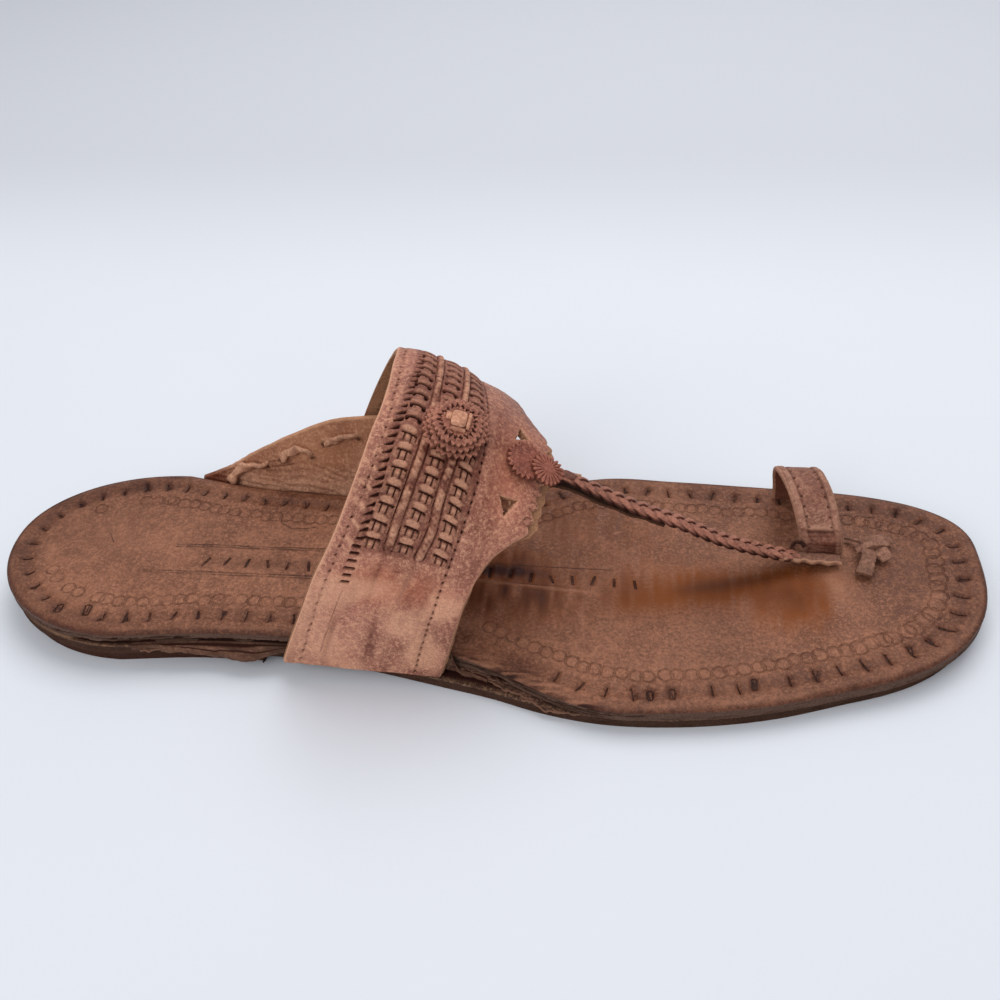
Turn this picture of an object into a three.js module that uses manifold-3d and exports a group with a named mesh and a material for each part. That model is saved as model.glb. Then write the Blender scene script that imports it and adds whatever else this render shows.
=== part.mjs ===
// Kolhapuri sandal, right foot. Millimetres, +X from heel to toe, +Y to the big-toe side, +Z up.
// The sole is a stack of leather layers. Two side ears rise from between the layers, a broad woven
// band arches over the instep from ear to ear, and a braid ties the band's point to a toe loop.

import * as THREE from 'three';
import { mergeVertices } from 'three/addons/utils/BufferGeometryUtils.js';
import Module from 'manifold-3d';

const wasm = await Module();
wasm.setup();

// ---------------------------------------------------------------- driving sizes

const HEEL_END = -150.5;
const TOE_END = 148.5;
const HEEL_CAP_START = -104;
const TOE_CAP_START = 105;
const OUTSOLE_TOE_END = 146;

const TOP_SOLE_THICK = 3.9;
const FILLER_THICK = 1.2;
const OUTSOLE_THICK = 3.4;
const HEEL_LIFT_THICK = 3.6;
const LAYER_FILM = 0.3;
const HEEL_RAISE = HEEL_LIFT_THICK + LAYER_FILM;
const HEEL_BREAST = -60;
const FLAT_START = 0;
const TOE_SPRING = 3;
const SPRING_START = 92;
const SPRING_LENGTH = 58;
const EAR_GAP = 1.8;

const BAND_WALL = 2.5;
const BAND_FOOT_Z = 4.5;
const BAND_CREST_Z = 77;
const BAND_REAR_X = -54.5;
const BAND_FOOT_RISE = 2.4;
const BAND_LEAN = 0.28;
const BAND_LEAN_CURVE = 0.00185;

const FLANGE_THICK = 1.2;
const EAR_THICK = 2;
const LOOP_THICK = 3;
const SKIN_GAP = 0.3;

// The tables are laid out about the waist of the last. This shift puts the origin under the
// middle of the whole sandal.
const ORIGIN_SHIFT = new THREE.Vector3(1, -0.58, 0);

// ---------------------------------------------------------------- tables

// Half-widths of the top sole on the little-toe side and on the big-toe side.
const TOP_OUTLINE = [
  { x: -104, outer: 36.8, inner: 35.4 },
  { x: -80, outer: 34.1, inner: 30.8 },
  { x: -52, outer: 33.1, inner: 28.8 },
  { x: -28, outer: 32.6, inner: 28.5 },
  { x: -6, outer: 33.3, inner: 30.5 },
  { x: 10, outer: 38.5, inner: 37.5 },
  { x: 22, outer: 43.8, inner: 44.5 },
  { x: 34, outer: 47.8, inner: 48.2 },
  { x: 60, outer: 47.5, inner: 48.2 },
  { x: 84, outer: 43.3, inner: 47 },
  { x: 105, outer: 36.8, inner: 45.8 },
];

// The outsole runs wider than the top sole at the outer waist, and draws in under the toe.
const OUTSOLE_OUTLINE = [
  { x: -104, outer: 36.4, inner: 35 },
  { x: -80, outer: 33.9, inner: 30.4 },
  { x: -52, outer: 34, inner: 28.4 },
  { x: -30, outer: 35.2, inner: 28.1 },
  { x: -8, outer: 38.3, inner: 29.8 },
  { x: 8, outer: 41.6, inner: 36.2 },
  { x: 20, outer: 45, inner: 43 },
  { x: 34, outer: 47.5, inner: 47.8 },
  { x: 60, outer: 47.1, inner: 47.7 },
  { x: 84, outer: 42.7, inner: 46.2 },
  { x: 105, outer: 35.8, inner: 44.4 },
];

// Cross-section of the band's outer face at its rear edge, from the little-toe side over the
// instep to the big-toe side.
const BAND_ARCH = [
  { y: -38.5, z: 4.5 },
  { y: -37.2, z: 20 },
  { y: -36, z: 36 },
  { y: -33, z: 50 },
  { y: -26, z: 62.5 },
  { y: -15, z: 71.5 },
  { y: -3, z: 75.8 },
  { y: 10, z: 77 },
  { y: 22, z: 74.5 },
  { y: 31, z: 67.5 },
  { y: 37, z: 56 },
  { y: 40.8, z: 42 },
  { y: 42, z: 26 },
  { y: 40, z: 10 },
];

// Height of the arch at each distance forward of the rear edge, on either side of the crest.
const BAND_CREST = [
  { forward: 0, outer: 77, inner: 77 },
  { forward: 8, outer: 76.2, inner: 75.8 },
  { forward: 14, outer: 75, inner: 73.4 },
  { forward: 22, outer: 73, inner: 70 },
  { forward: 30, outer: 70.5, inner: 65.2 },
  { forward: 37, outer: 66.5, inner: 61.8 },
  { forward: 43, outer: 62.5, inner: 58 },
  { forward: 48, outer: 60, inner: 54.5 },
  { forward: 52, outer: 58, inner: 52 },
  { forward: 58, outer: 55, inner: 49 },
];
const CREST_BLEND_START = 82;
const CREST_BLEND_LENGTH = 34;

// Rear and front edges of the band, forward distance at each distance round the arch.
const BAND_EDGES = [
  { round: 0, rear: 0.2, front: 46.3 },
  { round: 11, rear: 0.9, front: 46.4 },
  { round: 23, rear: 1.7, front: 45.7 },
  { round: 35, rear: 2, front: 45.3 },
  { round: 44, rear: 2.7, front: 45.6 },
  { round: 52, rear: 2.8, front: 47.5 },
  { round: 57, rear: 2.6, front: 50.5 },
  { round: 64, rear: 2.2, front: 55.3 },
  { round: 69, rear: 1.8, front: 55.2 },
  { round: 76, rear: 1.3, front: 55.5 },
  { round: 82, rear: 1.4, front: 55.7 },
  { round: 89, rear: 1.1, front: 55.4 },
  { round: 93, rear: 0.9, front: 55.2 },
  { round: 97, rear: 0.5, front: 54.2 },
  { round: 101, rear: 0.2, front: 52 },
  { round: 107, rear: 0.3, front: 48.4 },
  { round: 114, rear: 0.5, front: 45.8 },
  { round: 131, rear: 0.6, front: 44.8 },
  { round: 155, rear: 0.4, front: 45.6 },
  { round: 183.7, rear: 0.2, front: 46.3 },
];

// V-shaped cuts in the band either side of its point: two corners of the mouth, then the tip.
const V_CUTS = [
  { a: { round: 69.6, forward: 42.9 }, b: { round: 70.3, forward: 48.6 }, tip: { round: 64.5, forward: 46.1 } },
  { a: { round: 88.7, forward: 42.8 }, b: { round: 91.7, forward: 47.7 }, tip: { round: 95.2, forward: 44.1 } },
];

// Inner ear: height of its top edge, how far its root reaches in under the top sole, and the
// limit that keeps it inside the band.
const INNER_EAR = [
  { x: -100, top: 12.2, reach: 0.2, limit: 60 },
  { x: -90, top: 17.2, reach: 3.6, limit: 60 },
  { x: -80, top: 23.6, reach: 6, limit: 50 },
  { x: -68, top: 30.3, reach: 6, limit: 40 },
  { x: -58, top: 35, reach: 6, limit: 37.8 },
  { x: -48, top: 38.3, reach: 6, limit: 37.4 },
  { x: -38, top: 39.7, reach: 6, limit: 37.4 },
  { x: -20, top: 39.6, reach: 6, limit: 37.1 },
  { x: -8, top: 35.8, reach: 3, limit: 37 },
  { x: 4, top: 27, reach: -0.9, limit: 38.4 },
  { x: 14, top: 16.8, reach: -0.9, limit: 45 },
  { x: 22, top: 10.8, reach: -0.9, limit: 60 },
  { x: 28, top: 8.2, reach: -0.9, limit: 60 },
];
const INNER_EAR_LEAN = 0.22;

// Outer ear: the loose tails hang out and down past the sole's edge, and the middle rises
// behind the band.
const OUTER_EAR = [
  { x: -98, out: 0.4, drop: 0, rise: 0, reach: 0.2 },
  { x: -85, out: 1.6, drop: 1, rise: 0, reach: 5 },
  { x: -72, out: 2.6, drop: 2.2, rise: 0, reach: 6 },
  { x: -62, out: 3, drop: 2.9, rise: 0, reach: 6 },
  { x: -55, out: 2, drop: 0.6, rise: 0, reach: 6 },
  { x: -50, out: 2, drop: 0, rise: 4, reach: 6 },
  { x: -46, out: 2, drop: 0, rise: 13, reach: 6 },
  { x: -41, out: 2, drop: 0, rise: 24, reach: 6 },
  { x: -34, out: 2, drop: 0, rise: 26, reach: 6 },
  { x: -18, out: 2, drop: 0, rise: 26, reach: 6 },
  { x: -11, out: 2, drop: 0, rise: 20, reach: 5 },
  { x: -5, out: 1.8, drop: 0, rise: 6, reach: 3 },
  { x: 0, out: 1.6, drop: 0, rise: 0, reach: 2 },
  { x: 6, out: 1.4, drop: 0, rise: 0, reach: 1.4 },
];

// Toe loop: centre line of the strap from its folded foot on the sole to its far foot.
const TOE_LOOP = [
  { x: 102.6, y: 16.6, z: 8.1, width: 13.2 },
  { x: 101.9, y: 16.9, z: 14, width: 13 },
  { x: 100.6, y: 17.9, z: 18.6, width: 13 },
  { x: 99, y: 20.9, z: 23.2, width: 13.2 },
  { x: 97.2, y: 25.5, z: 26, width: 13.4 },
  { x: 95.8, y: 31, z: 26.2, width: 13.4 },
  { x: 95.2, y: 36, z: 23.4, width: 13.2 },
  { x: 95.6, y: 38.8, z: 18.6, width: 13 },
  { x: 96.4, y: 40.2, z: 14, width: 13 },
  { x: 97, y: 40.8, z: 8.1, width: 13 },
];

// Braid: centre line from its seat under the band's point, flat against the band's underside,
// down to the folded foot of the toe loop.
const BRAID = [
  { x: 15.5, y: -2.8, z: 54.5, width: 4, thick: 2.4 },
  { x: 20.5, y: -2.8, z: 51.2, width: 4, thick: 2.4 },
  { x: 27, y: -2.6, z: 48.9, width: 4, thick: 3 },
  { x: 35.4, y: -0.8, z: 42.9, width: 4.8, thick: 3.6 },
  { x: 46.7, y: 1.2, z: 35.6, width: 5, thick: 3.7 },
  { x: 58.5, y: 3.2, z: 29.2, width: 5, thick: 3.7 },
  { x: 70.8, y: 5.4, z: 21.4, width: 5, thick: 3.7 },
  { x: 83.4, y: 8.4, z: 15, width: 4.8, thick: 3.5 },
  { x: 90, y: 10, z: 12.1, width: 4.8, thick: 3.3 },
  { x: 97, y: 11.2, z: 10.3, width: 5, thick: 2.8 },
  { x: 107.6, y: 11.6, z: 9.5, width: 5, thick: 2.4 },
];

// Thin lining strip that follows the first part of the braid from below.
const BRAID_BACKING = [
  { x: 15.5, y: -2.8, z: 52.1, width: 4.4, thick: 1.2 },
  { x: 20.5, y: -2.8, z: 48.8, width: 4.6, thick: 1.2 },
  { x: 24.5, y: -2.8, z: 47.4, width: 5, thick: 1.2 },
  { x: 33.8, y: -1, z: 40.3, width: 4.4, thick: 1.2 },
  { x: 45, y: 1, z: 33, width: 4.2, thick: 1.2 },
  { x: 54, y: 2.4, z: 28, width: 3.6, thick: 1.2 },
];

// Thong knotted on the sole in front of the toe loop: two tails and the wrap around them.
const KNOT_LONG_TAIL = [
  { x: 111.5, y: 22.6, z: 9.6, width: 3, thick: 1.6 },
  { x: 116, y: 19.6, z: 10.8, width: 4.4, thick: 2.4 },
  { x: 117, y: 14, z: 10.8, width: 4.4, thick: 2.4 },
  { x: 114.6, y: 8.8, z: 10, width: 5, thick: 2 },
  { x: 113.4, y: 4.6, z: 9.6, width: 5, thick: 1.8 },
];
const KNOT_SHORT_TAIL = [
  { x: 112.4, y: 17.2, z: 10, width: 2.6, thick: 1.8 },
  { x: 117, y: 16.6, z: 11, width: 4.2, thick: 2.4 },
  { x: 121, y: 14, z: 10.4, width: 3.8, thick: 2.2 },
  { x: 122.6, y: 11.4, z: 9.9, width: 3.2, thick: 1.8 },
];
const KNOT_WRAP = [
  { x: 114.6, y: 18.6, z: 10.6, width: 4.8, thick: 3.4 },
  { x: 118.4, y: 17, z: 11.2, width: 5.4, thick: 4 },
  { x: 121.4, y: 18.4, z: 10.6, width: 4, thick: 2.6 },
];

// Rosettes: place on the band, radius, height above the band and number of teeth.
const ROSETTES = [
  { name: 'rosette_lower', round: 80, forward: 23.9, radius: 9, thick: 1.2, lift: 0.4, teeth: 30 },
  { name: 'rosette_middle', round: 80, forward: 23.9, radius: 8.1, thick: 1.2, lift: 1.9, teeth: 28 },
  { name: 'rosette_upper', round: 80, forward: 23.9, radius: 6.9, thick: 1.1, lift: 3.4, teeth: 26 },
  { name: 'tip_rosette_rear', round: 81.9, forward: 47.2, radius: 5, thick: 1.2, lift: 0.4, teeth: 22 },
  { name: 'tip_rosette_front', round: 81.2, forward: 53.6, radius: 4.5, thick: 1.2, lift: 1.9, teeth: 20 },
];
const TOOTH_DEPTH = 0.12;
const KNOB = { width: 6, length: 7, thick: 2.4, lift: 4.8 };

// ---------------------------------------------------------------- curves

// Smooth curve through one column of a table, with slopes taken from the neighbouring rows.
function along(rows, key, value, at) {
  const knots = rows.map((row) => row[key]);
  const values = rows.map((row) => row[value]);
  const last = rows.length - 1;
  const x = Math.min(Math.max(at, knots[0]), knots[last]);
  let i = 0;
  while (i < last - 1 && x > knots[i + 1]) {
    i += 1;
  }
  const secant = (k) => (values[k + 1] - values[k]) / (knots[k + 1] - knots[k]);
  const slope = (k) => {
    if (k === 0) {
      return secant(0);
    }
    if (k === last) {
      return secant(last - 1);
    }
    const before = knots[k] - knots[k - 1];
    const after = knots[k + 1] - knots[k];
    return (after * secant(k - 1) + before * secant(k)) / (before + after);
  };
  const h = knots[i + 1] - knots[i];
  const t = (x - knots[i]) / h;
  const t2 = t * t;
  const t3 = t2 * t;
  return (2 * t3 - 3 * t2 + 1) * values[i] + (t3 - 2 * t2 + t) * h * slope(i)
    + (3 * t2 - 2 * t3) * values[i + 1] + (t3 - t2) * h * slope(i + 1);
}

function smoothStep(t) {
  const c = Math.min(Math.max(t, 0), 1);
  return c * c * (3 - 2 * c);
}

function steps(count) {
  return Array.from({ length: count + 1 }, (_, i) => i / count);
}

// Distances that crowd toward both ends, where a sole's outline turns.
function crowded(start, end, count) {
  return steps(count).map((t) => (start + end) / 2 - ((end - start) / 2) * Math.cos(Math.PI * t));
}

// ---------------------------------------------------------------- the last: outline and heights

// Edges of a sole layer at x, with round superellipse caps at heel and toe.
function outline(rows, x, heelEnd, toeEnd) {
  const heelMiddle = 3;
  const toeMiddle = 16.5;
  if (x < HEEL_CAP_START) {
    const t = Math.min((HEEL_CAP_START - x) / (HEEL_CAP_START - heelEnd), 1);
    const round = (1 - t ** 2.05) ** (1 / 2.05);
    return {
      outer: heelMiddle - (rows[0].outer + heelMiddle) * round,
      inner: heelMiddle + (rows[0].inner - heelMiddle) * round,
    };
  }
  if (x > TOE_CAP_START) {
    const past = x - TOE_CAP_START;
    const t = Math.min(past / (toeEnd - TOE_CAP_START), 1);
    const end = rows[rows.length - 1];
    const outerLine = -end.outer + 0.31 * past;
    const innerLine = end.inner - 0.12 * past;
    return {
      outer: toeMiddle + (outerLine - toeMiddle) * (1 - t ** 3) ** (1 / 3),
      inner: toeMiddle + (innerLine - toeMiddle) * (1 - t ** 2.6) ** (1 / 2.6),
    };
  }
  return { outer: -along(rows, 'x', 'outer', x), inner: along(rows, 'x', 'inner', x) };
}

function topEdges(x) {
  return outline(TOP_OUTLINE, x, HEEL_END, TOE_END);
}

function outsoleEdges(x) {
  return outline(OUTSOLE_OUTLINE, x, HEEL_END + 0.5, OUTSOLE_TOE_END);
}

function outsoleBottom(x) {
  const spring = Math.min(Math.max((x - SPRING_START) / SPRING_LENGTH, 0), 1);
  return HEEL_RAISE * (1 - smoothStep((x - HEEL_BREAST) / (FLAT_START - HEEL_BREAST)))
    + TOE_SPRING * spring * spring;
}

function outsoleTop(x) {
  return outsoleBottom(x) + OUTSOLE_THICK;
}

// The layers stand apart at heel and waist, where the ears are let in, and close at the ball.
function layerGap(x) {
  return LAYER_FILM + (EAR_GAP - LAYER_FILM) * (1 - smoothStep((x + 10) / 45));
}

function topSoleBottom(x) {
  return outsoleTop(x) + layerGap(x);
}

function topSoleTop(x) {
  return topSoleBottom(x) + TOP_SOLE_THICK;
}

// ---------------------------------------------------------------- solids

// Closes a list of triangles over a list of points and turns its faces outward.
function closedGeometry(points, triangles) {
  let volume = 0;
  for (const [a, b, c] of triangles) {
    volume += points[a].dot(new THREE.Vector3().crossVectors(points[b], points[c]));
  }
  const faces = volume < 0 ? triangles.map(([a, b, c]) => [a, c, b]) : triangles;
  const geometry = new THREE.BufferGeometry();
  geometry.setAttribute('position', new THREE.Float32BufferAttribute(points.flatMap((p) => p.toArray()), 3));
  geometry.setIndex(faces.flat());
  return geometry;
}

// Solid between two sheets of the same rows and columns. Rows that shrink to a point are allowed.
function solidBetween(upper, lower) {
  const columns = upper[0].length;
  const points = [];
  const numbered = new Map();
  const number = (point) => {
    const key = point.toArray().map((v) => v.toFixed(3)).join();
    if (!numbered.has(key)) {
      numbered.set(key, points.length);
      points.push(point);
    }
    return numbered.get(key);
  };
  const top = upper.map((row) => row.map(number));
  const bottom = lower.map((row) => row.map(number));
  const under = new Map();
  top.forEach((row, i) => row.forEach((index, j) => under.set(index, bottom[i][j])));
  const triangles = [];
  const edges = new Map();
  const addFace = (a, b, c) => {
    if (a === b || b === c || c === a) {
      return;
    }
    triangles.push([a, b, c]);
    triangles.push([under.get(a), under.get(c), under.get(b)]);
    for (const [from, to] of [[a, b], [b, c], [c, a]]) {
      edges.set(`${from},${to}`, [from, to]);
    }
  };
  for (let i = 0; i < top.length - 1; i += 1) {
    for (let j = 0; j < columns - 1; j += 1) {
      addFace(top[i][j], top[i + 1][j], top[i + 1][j + 1]);
      addFace(top[i][j], top[i + 1][j + 1], top[i][j + 1]);
    }
  }
  for (const [from, to] of edges.values()) {
    if (!edges.has(`${to},${from}`)) {
      triangles.push([to, from, under.get(from)]);
      triangles.push([to, under.get(from), under.get(to)]);
    }
  }
  return closedGeometry(points, triangles);
}

// Solid along a table of centres, with an oval or a flat section of the row's width and thickness.
function sweep(rows, count, sides, squareness) {
  const place = (t) => {
    const at = t * (rows.length - 1);
    const table = rows.map((row, index) => ({ ...row, index }));
    const read = (key) => along(table, 'index', key, at);
    return { centre: new THREE.Vector3(read('x'), read('y'), read('z')), width: read('width'), thick: read('thick') };
  };
  const rings = steps(count).map((t) => {
    const here = place(t);
    const tangent = place(Math.min(t + 0.01, 1)).centre.sub(place(Math.max(t - 0.01, 0)).centre).normalize();
    const side = new THREE.Vector3().crossVectors(tangent, new THREE.Vector3(0, 0, 1)).normalize();
    const normal = new THREE.Vector3().crossVectors(side, tangent);
    return Array.from({ length: sides }, (_, k) => {
      const angle = (2 * Math.PI * (k + 0.5)) / sides;
      const across = Math.sign(Math.cos(angle)) * Math.abs(Math.cos(angle)) ** squareness;
      const above = Math.sign(Math.sin(angle)) * Math.abs(Math.sin(angle)) ** squareness;
      return here.centre.clone()
        .addScaledVector(side, (across * here.width) / 2)
        .addScaledVector(normal, (above * here.thick) / 2);
    });
  });
  const points = rings.flat();
  const triangles = [];
  for (let i = 0; i < count; i += 1) {
    for (let k = 0; k < sides; k += 1) {
      const next = (k + 1) % sides;
      triangles.push([i * sides + k, (i + 1) * sides + k, (i + 1) * sides + next]);
      triangles.push([i * sides + k, (i + 1) * sides + next, i * sides + next]);
    }
  }
  for (let k = 1; k < sides - 1; k += 1) {
    triangles.push([0, k, k + 1]);
    triangles.push([count * sides, count * sides + k + 1, count * sides + k]);
  }
  return closedGeometry(points, triangles);
}

function toManifold(geometry) {
  const bare = geometry.clone();
  bare.deleteAttribute('normal');
  bare.deleteAttribute('uv');
  const merged = mergeVertices(bare, 1e-4);
  return new wasm.Manifold(new wasm.Mesh({
    numProp: 3,
    vertProperties: new Float32Array(merged.attributes.position.array),
    triVerts: new Uint32Array(merged.index.array),
  }));
}

function fromManifold(solid) {
  const mesh = solid.getMesh();
  const geometry = new THREE.BufferGeometry();
  geometry.setAttribute('position', new THREE.BufferAttribute(new Float32Array(mesh.vertProperties), 3));
  geometry.setIndex(new THREE.BufferAttribute(new Uint32Array(mesh.triVerts), 1));
  return geometry;
}

// ---------------------------------------------------------------- sole

const SOLE_STATIONS = 44;
const SOLE_COLUMNS = 6;

function layerSheet(stations, edgesAt, heightAt) {
  return stations.map((x) => {
    const { outer, inner } = edgesAt(x);
    return steps(SOLE_COLUMNS).map((t) => new THREE.Vector3(x, outer + (inner - outer) * t, heightAt(x)));
  });
}

function topSole() {
  const stations = crowded(HEEL_END, TOE_END, SOLE_STATIONS);
  return solidBetween(
    layerSheet(stations, topEdges, topSoleTop),
    layerSheet(stations, topEdges, topSoleBottom),
  );
}

function outsole() {
  const stations = crowded(HEEL_END + 0.5, OUTSOLE_TOE_END, SOLE_STATIONS);
  return solidBetween(
    layerSheet(stations, outsoleEdges, outsoleTop),
    layerSheet(stations, outsoleEdges, outsoleBottom),
  );
}

// The filler fills the heel edge to edge, then steps in to leave room for the roots of the ears.
function filler() {
  const rearEnd = HEEL_END + 0.8;
  const frontEnd = -30;
  const edgesAt = (x) => {
    const { outer, inner } = outline(TOP_OUTLINE, x, rearEnd, TOE_END);
    const inset = 0.4 + 6.6 * smoothStep((x + 108) / 14);
    const closing = smoothStep((x - rearEnd) / 6);
    return { outer: outer + inset * closing, inner: inner - inset * closing };
  };
  const stations = crowded(rearEnd, frontEnd, 26);
  return solidBetween(
    layerSheet(stations, edgesAt, (x) => outsoleTop(x) + LAYER_FILM + FILLER_THICK),
    layerSheet(stations, edgesAt, (x) => outsoleTop(x) + LAYER_FILM),
  );
}

function heelLift() {
  const inset = (amount) => (x) => {
    const { outer, inner } = outline(OUTSOLE_OUTLINE, x, HEEL_END + 0.5, OUTSOLE_TOE_END);
    const closing = smoothStep((x - HEEL_END) / 8);
    return { outer: outer + amount * closing, inner: inner - amount * closing };
  };
  const top = crowded(HEEL_END + 1, HEEL_BREAST, 26);
  const bottom = crowded(HEEL_END + 2.6, HEEL_BREAST - 0.6, 26);
  const shrink = (stations, sheet, end) => sheet.map((row, i) => {
    if (i > 0) {
      return row;
    }
    const middle = (end.outer + end.inner) / 2;
    return row.map((p) => new THREE.Vector3(stations[0], middle, p.z));
  });
  const topSheet = layerSheet(top, inset(0.3), () => HEEL_LIFT_THICK);
  const bottomSheet = layerSheet(bottom, inset(1.2), () => 0);
  return solidBetween(
    shrink(top, topSheet, inset(0.3)(top[0])),
    shrink(bottom, bottomSheet, inset(1.2)(bottom[0])),
  );
}

// ---------------------------------------------------------------- instep band

const ARCH_ROWS = BAND_ARCH.map((row) => ({ ...row }));
ARCH_ROWS.forEach((row, i) => {
  const before = ARCH_ROWS[i - 1];
  row.round = before ? before.round + Math.hypot(row.y - before.y, row.z - before.z) : 0;
});
const ARCH_LENGTH = ARCH_ROWS[ARCH_ROWS.length - 1].round;

// Point on the band's outer face: distance round the arch, and forward of the rear edge.
function bandSurface(round, forward) {
  const side = smoothStep((round - CREST_BLEND_START) / CREST_BLEND_LENGTH);
  const crest = along(BAND_CREST, 'forward', 'outer', forward) * (1 - side)
    + along(BAND_CREST, 'forward', 'inner', forward) * side;
  const scale = (crest - BAND_FOOT_Z) / (BAND_CREST_Z - BAND_FOOT_Z);
  const z = BAND_FOOT_Z + (along(ARCH_ROWS, 'round', 'z', round) - BAND_FOOT_Z) * scale;
  const x = BAND_REAR_X + forward + BAND_LEAN * z + BAND_LEAN_CURVE * z * z;
  return new THREE.Vector3(x, along(ARCH_ROWS, 'round', 'y', round), z);
}

function bandFrame(round, forward) {
  const origin = bandSurface(round, forward);
  const ahead = bandSurface(round, forward + 0.2).sub(bandSurface(round, forward - 0.2)).normalize();
  const around = bandSurface(round + 0.2, forward).sub(bandSurface(round - 0.2, forward)).normalize();
  const normal = new THREE.Vector3().crossVectors(ahead, around).normalize();
  const side = new THREE.Vector3().crossVectors(normal, ahead);
  return { origin, ahead, side, normal };
}

function bandPoint(round, forward, height) {
  const { origin, normal } = bandFrame(round, forward);
  return origin.addScaledVector(normal, height);
}

function vCut({ a, b, tip }) {
  const corners = [a, b, tip].map(({ round, forward }) => [round, forward]);
  const at = (height) => corners.map(([round, forward]) => bandPoint(round, forward, height));
  const [top, bottom] = [at(2), at(-BAND_WALL - 2)];
  const points = [...top, ...bottom];
  const triangles = [[0, 1, 2], [3, 5, 4]];
  for (let k = 0; k < 3; k += 1) {
    const next = (k + 1) % 3;
    triangles.push([k, k + 3, next + 3]);
    triangles.push([k, next + 3, next]);
  }
  return closedGeometry(points, triangles);
}

function instepBand() {
  const rowCount = 52;
  const columnCount = 10;
  const sheet = (height) => steps(rowCount).map((u) => steps(columnCount).map((v) => {
    const start = BAND_FOOT_RISE * (1 - v);
    const round = start + u * (ARCH_LENGTH - start);
    const rear = along(BAND_EDGES, 'round', 'rear', round);
    const front = along(BAND_EDGES, 'round', 'front', round);
    return bandPoint(round, rear + (front - rear) * v, height);
  }));
  let band = toManifold(solidBetween(sheet(0), sheet(-BAND_WALL)));
  for (const cut of V_CUTS) {
    band = band.subtract(toManifold(vCut(cut)));
  }
  return fromManifold(band);
}

// ---------------------------------------------------------------- ears

// A flange lies between the sole layers and thins with the gap that it lies in.
function flangeHeights(x) {
  const bottom = outsoleTop(x) + LAYER_FILM;
  return { bottom, top: bottom + Math.min(FLANGE_THICK, Math.max(layerGap(x) - 2 * LAYER_FILM, 0.5)) };
}

function innerEar() {
  const wallRows = 5;
  const stations = steps(30).map((t) => -100 + 128 * t);
  const sections = stations.map((x) => {
    const read = (key) => along(INNER_EAR, 'x', key, x);
    const edge = topEdges(x).inner + SKIN_GAP;
    const { bottom, top } = flangeHeights(x);
    const rootY = edge - SKIN_GAP - read('reach');
    const crest = Math.max(read('top'), top + 0.8);
    const foot = (z) => {
      const outward = edge + INNER_EAR_LEAN * (z - top);
      return Math.min(outward, read('limit') - EAR_THICK);
    };
    const inside = [[rootY, top], [(rootY + edge) / 2, top], [edge, top]];
    const outside = [[rootY, bottom], [(rootY + edge + EAR_THICK) / 2, bottom], [edge + EAR_THICK, bottom]];
    for (let k = 1; k <= wallRows; k += 1) {
      const z = top + ((crest - top) * k) / wallRows;
      inside.push([foot(z), z]);
      outside.push([foot(z) + EAR_THICK, z]);
    }
    const place = ([y, z]) => new THREE.Vector3(x, y, z);
    return { inside: inside.map(place), outside: outside.map(place) };
  });
  return solidBetween(sections.map((s) => s.inside), sections.map((s) => s.outside));
}

// Outer face of the risen part of the outer ear: just inside the band's lining.
function outerEarFace(z) {
  const bandY = along(ARCH_ROWS.slice(0, 5), 'z', 'y', z);
  return bandY + BAND_WALL + 2 * SKIN_GAP;
}

function outerEar() {
  const wallRows = 5;
  const thick = 1.3;
  const stations = steps(34).map((t) => -98 + 104 * t);
  const sections = stations.map((x) => {
    const read = (key) => along(OUTER_EAR, 'x', key, x);
    const edge = topEdges(x).outer;
    const { bottom, top } = flangeHeights(x);
    const rootY = edge + Math.max(read('reach'), 0.2);
    const lipY = edge - SKIN_GAP;
    const rise = Math.max(read('rise'), 0);
    const risen = smoothStep(rise / 6);
    const inside = [[rootY, top], [(rootY + lipY) / 2, top], [lipY - 0.1, top]];
    const outside = [[rootY, bottom], [(rootY + lipY) / 2, bottom], [lipY - 0.6 - 0.8 * risen, bottom]];
    for (let k = 1; k <= wallRows; k += 1) {
      const t = k / wallRows;
      const reach = lipY - 0.6 - (read('out') - 0.3) * t;
      const sag = read('drop') * smoothStep(t);
      const z = top + rise * t;
      const face = Math.min(outerEarFace(z), z < topSoleTop(x) ? edge - SKIN_GAP - thick : 0);
      inside.push([reach + (face + thick - reach) * risen, top - sag + rise * t * risen]);
      outside.push([reach + (face - reach) * risen, (bottom - sag) * (1 - risen) + z * risen]);
    }
    const place = ([y, z]) => new THREE.Vector3(x, y, z);
    return { inside: inside.map(place), outside: outside.map(place) };
  });
  return solidBetween(sections.map((s) => s.inside), sections.map((s) => s.outside));
}

// ---------------------------------------------------------------- toe loop, braid, knot, rosettes

function toeLoop() {
  const table = TOE_LOOP.map((row, index) => ({ ...row, index }));
  const read = (at) => ({
    x: along(table, 'index', 'x', at),
    y: along(table, 'index', 'y', at),
    z: along(table, 'index', 'z', at),
    width: along(table, 'index', 'width', at),
  });
  const last = table.length - 1;
  const sheet = (height) => steps(30).map((t) => {
    const at = t * last;
    const here = read(at);
    const ahead = read(Math.min(at + 0.1, last));
    const behind = read(Math.max(at - 0.1, 0));
    const tangent = new THREE.Vector2(ahead.y - behind.y, ahead.z - behind.z).normalize();
    return steps(4).map((v) => new THREE.Vector3(
      here.x + (v - 0.5) * here.width,
      here.y - tangent.y * height,
      here.z + tangent.x * height,
    ));
  });
  return solidBetween(sheet(LOOP_THICK / 2), sheet(-LOOP_THICK / 2));
}

function toeKnot() {
  const tails = toManifold(sweep(KNOT_LONG_TAIL, 14, 8, 0.6));
  const shortTail = toManifold(sweep(KNOT_SHORT_TAIL, 10, 8, 0.6));
  const wrap = toManifold(sweep(KNOT_WRAP, 8, 8, 0.7));
  return fromManifold(tails.add(shortTail).add(wrap));
}

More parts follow.
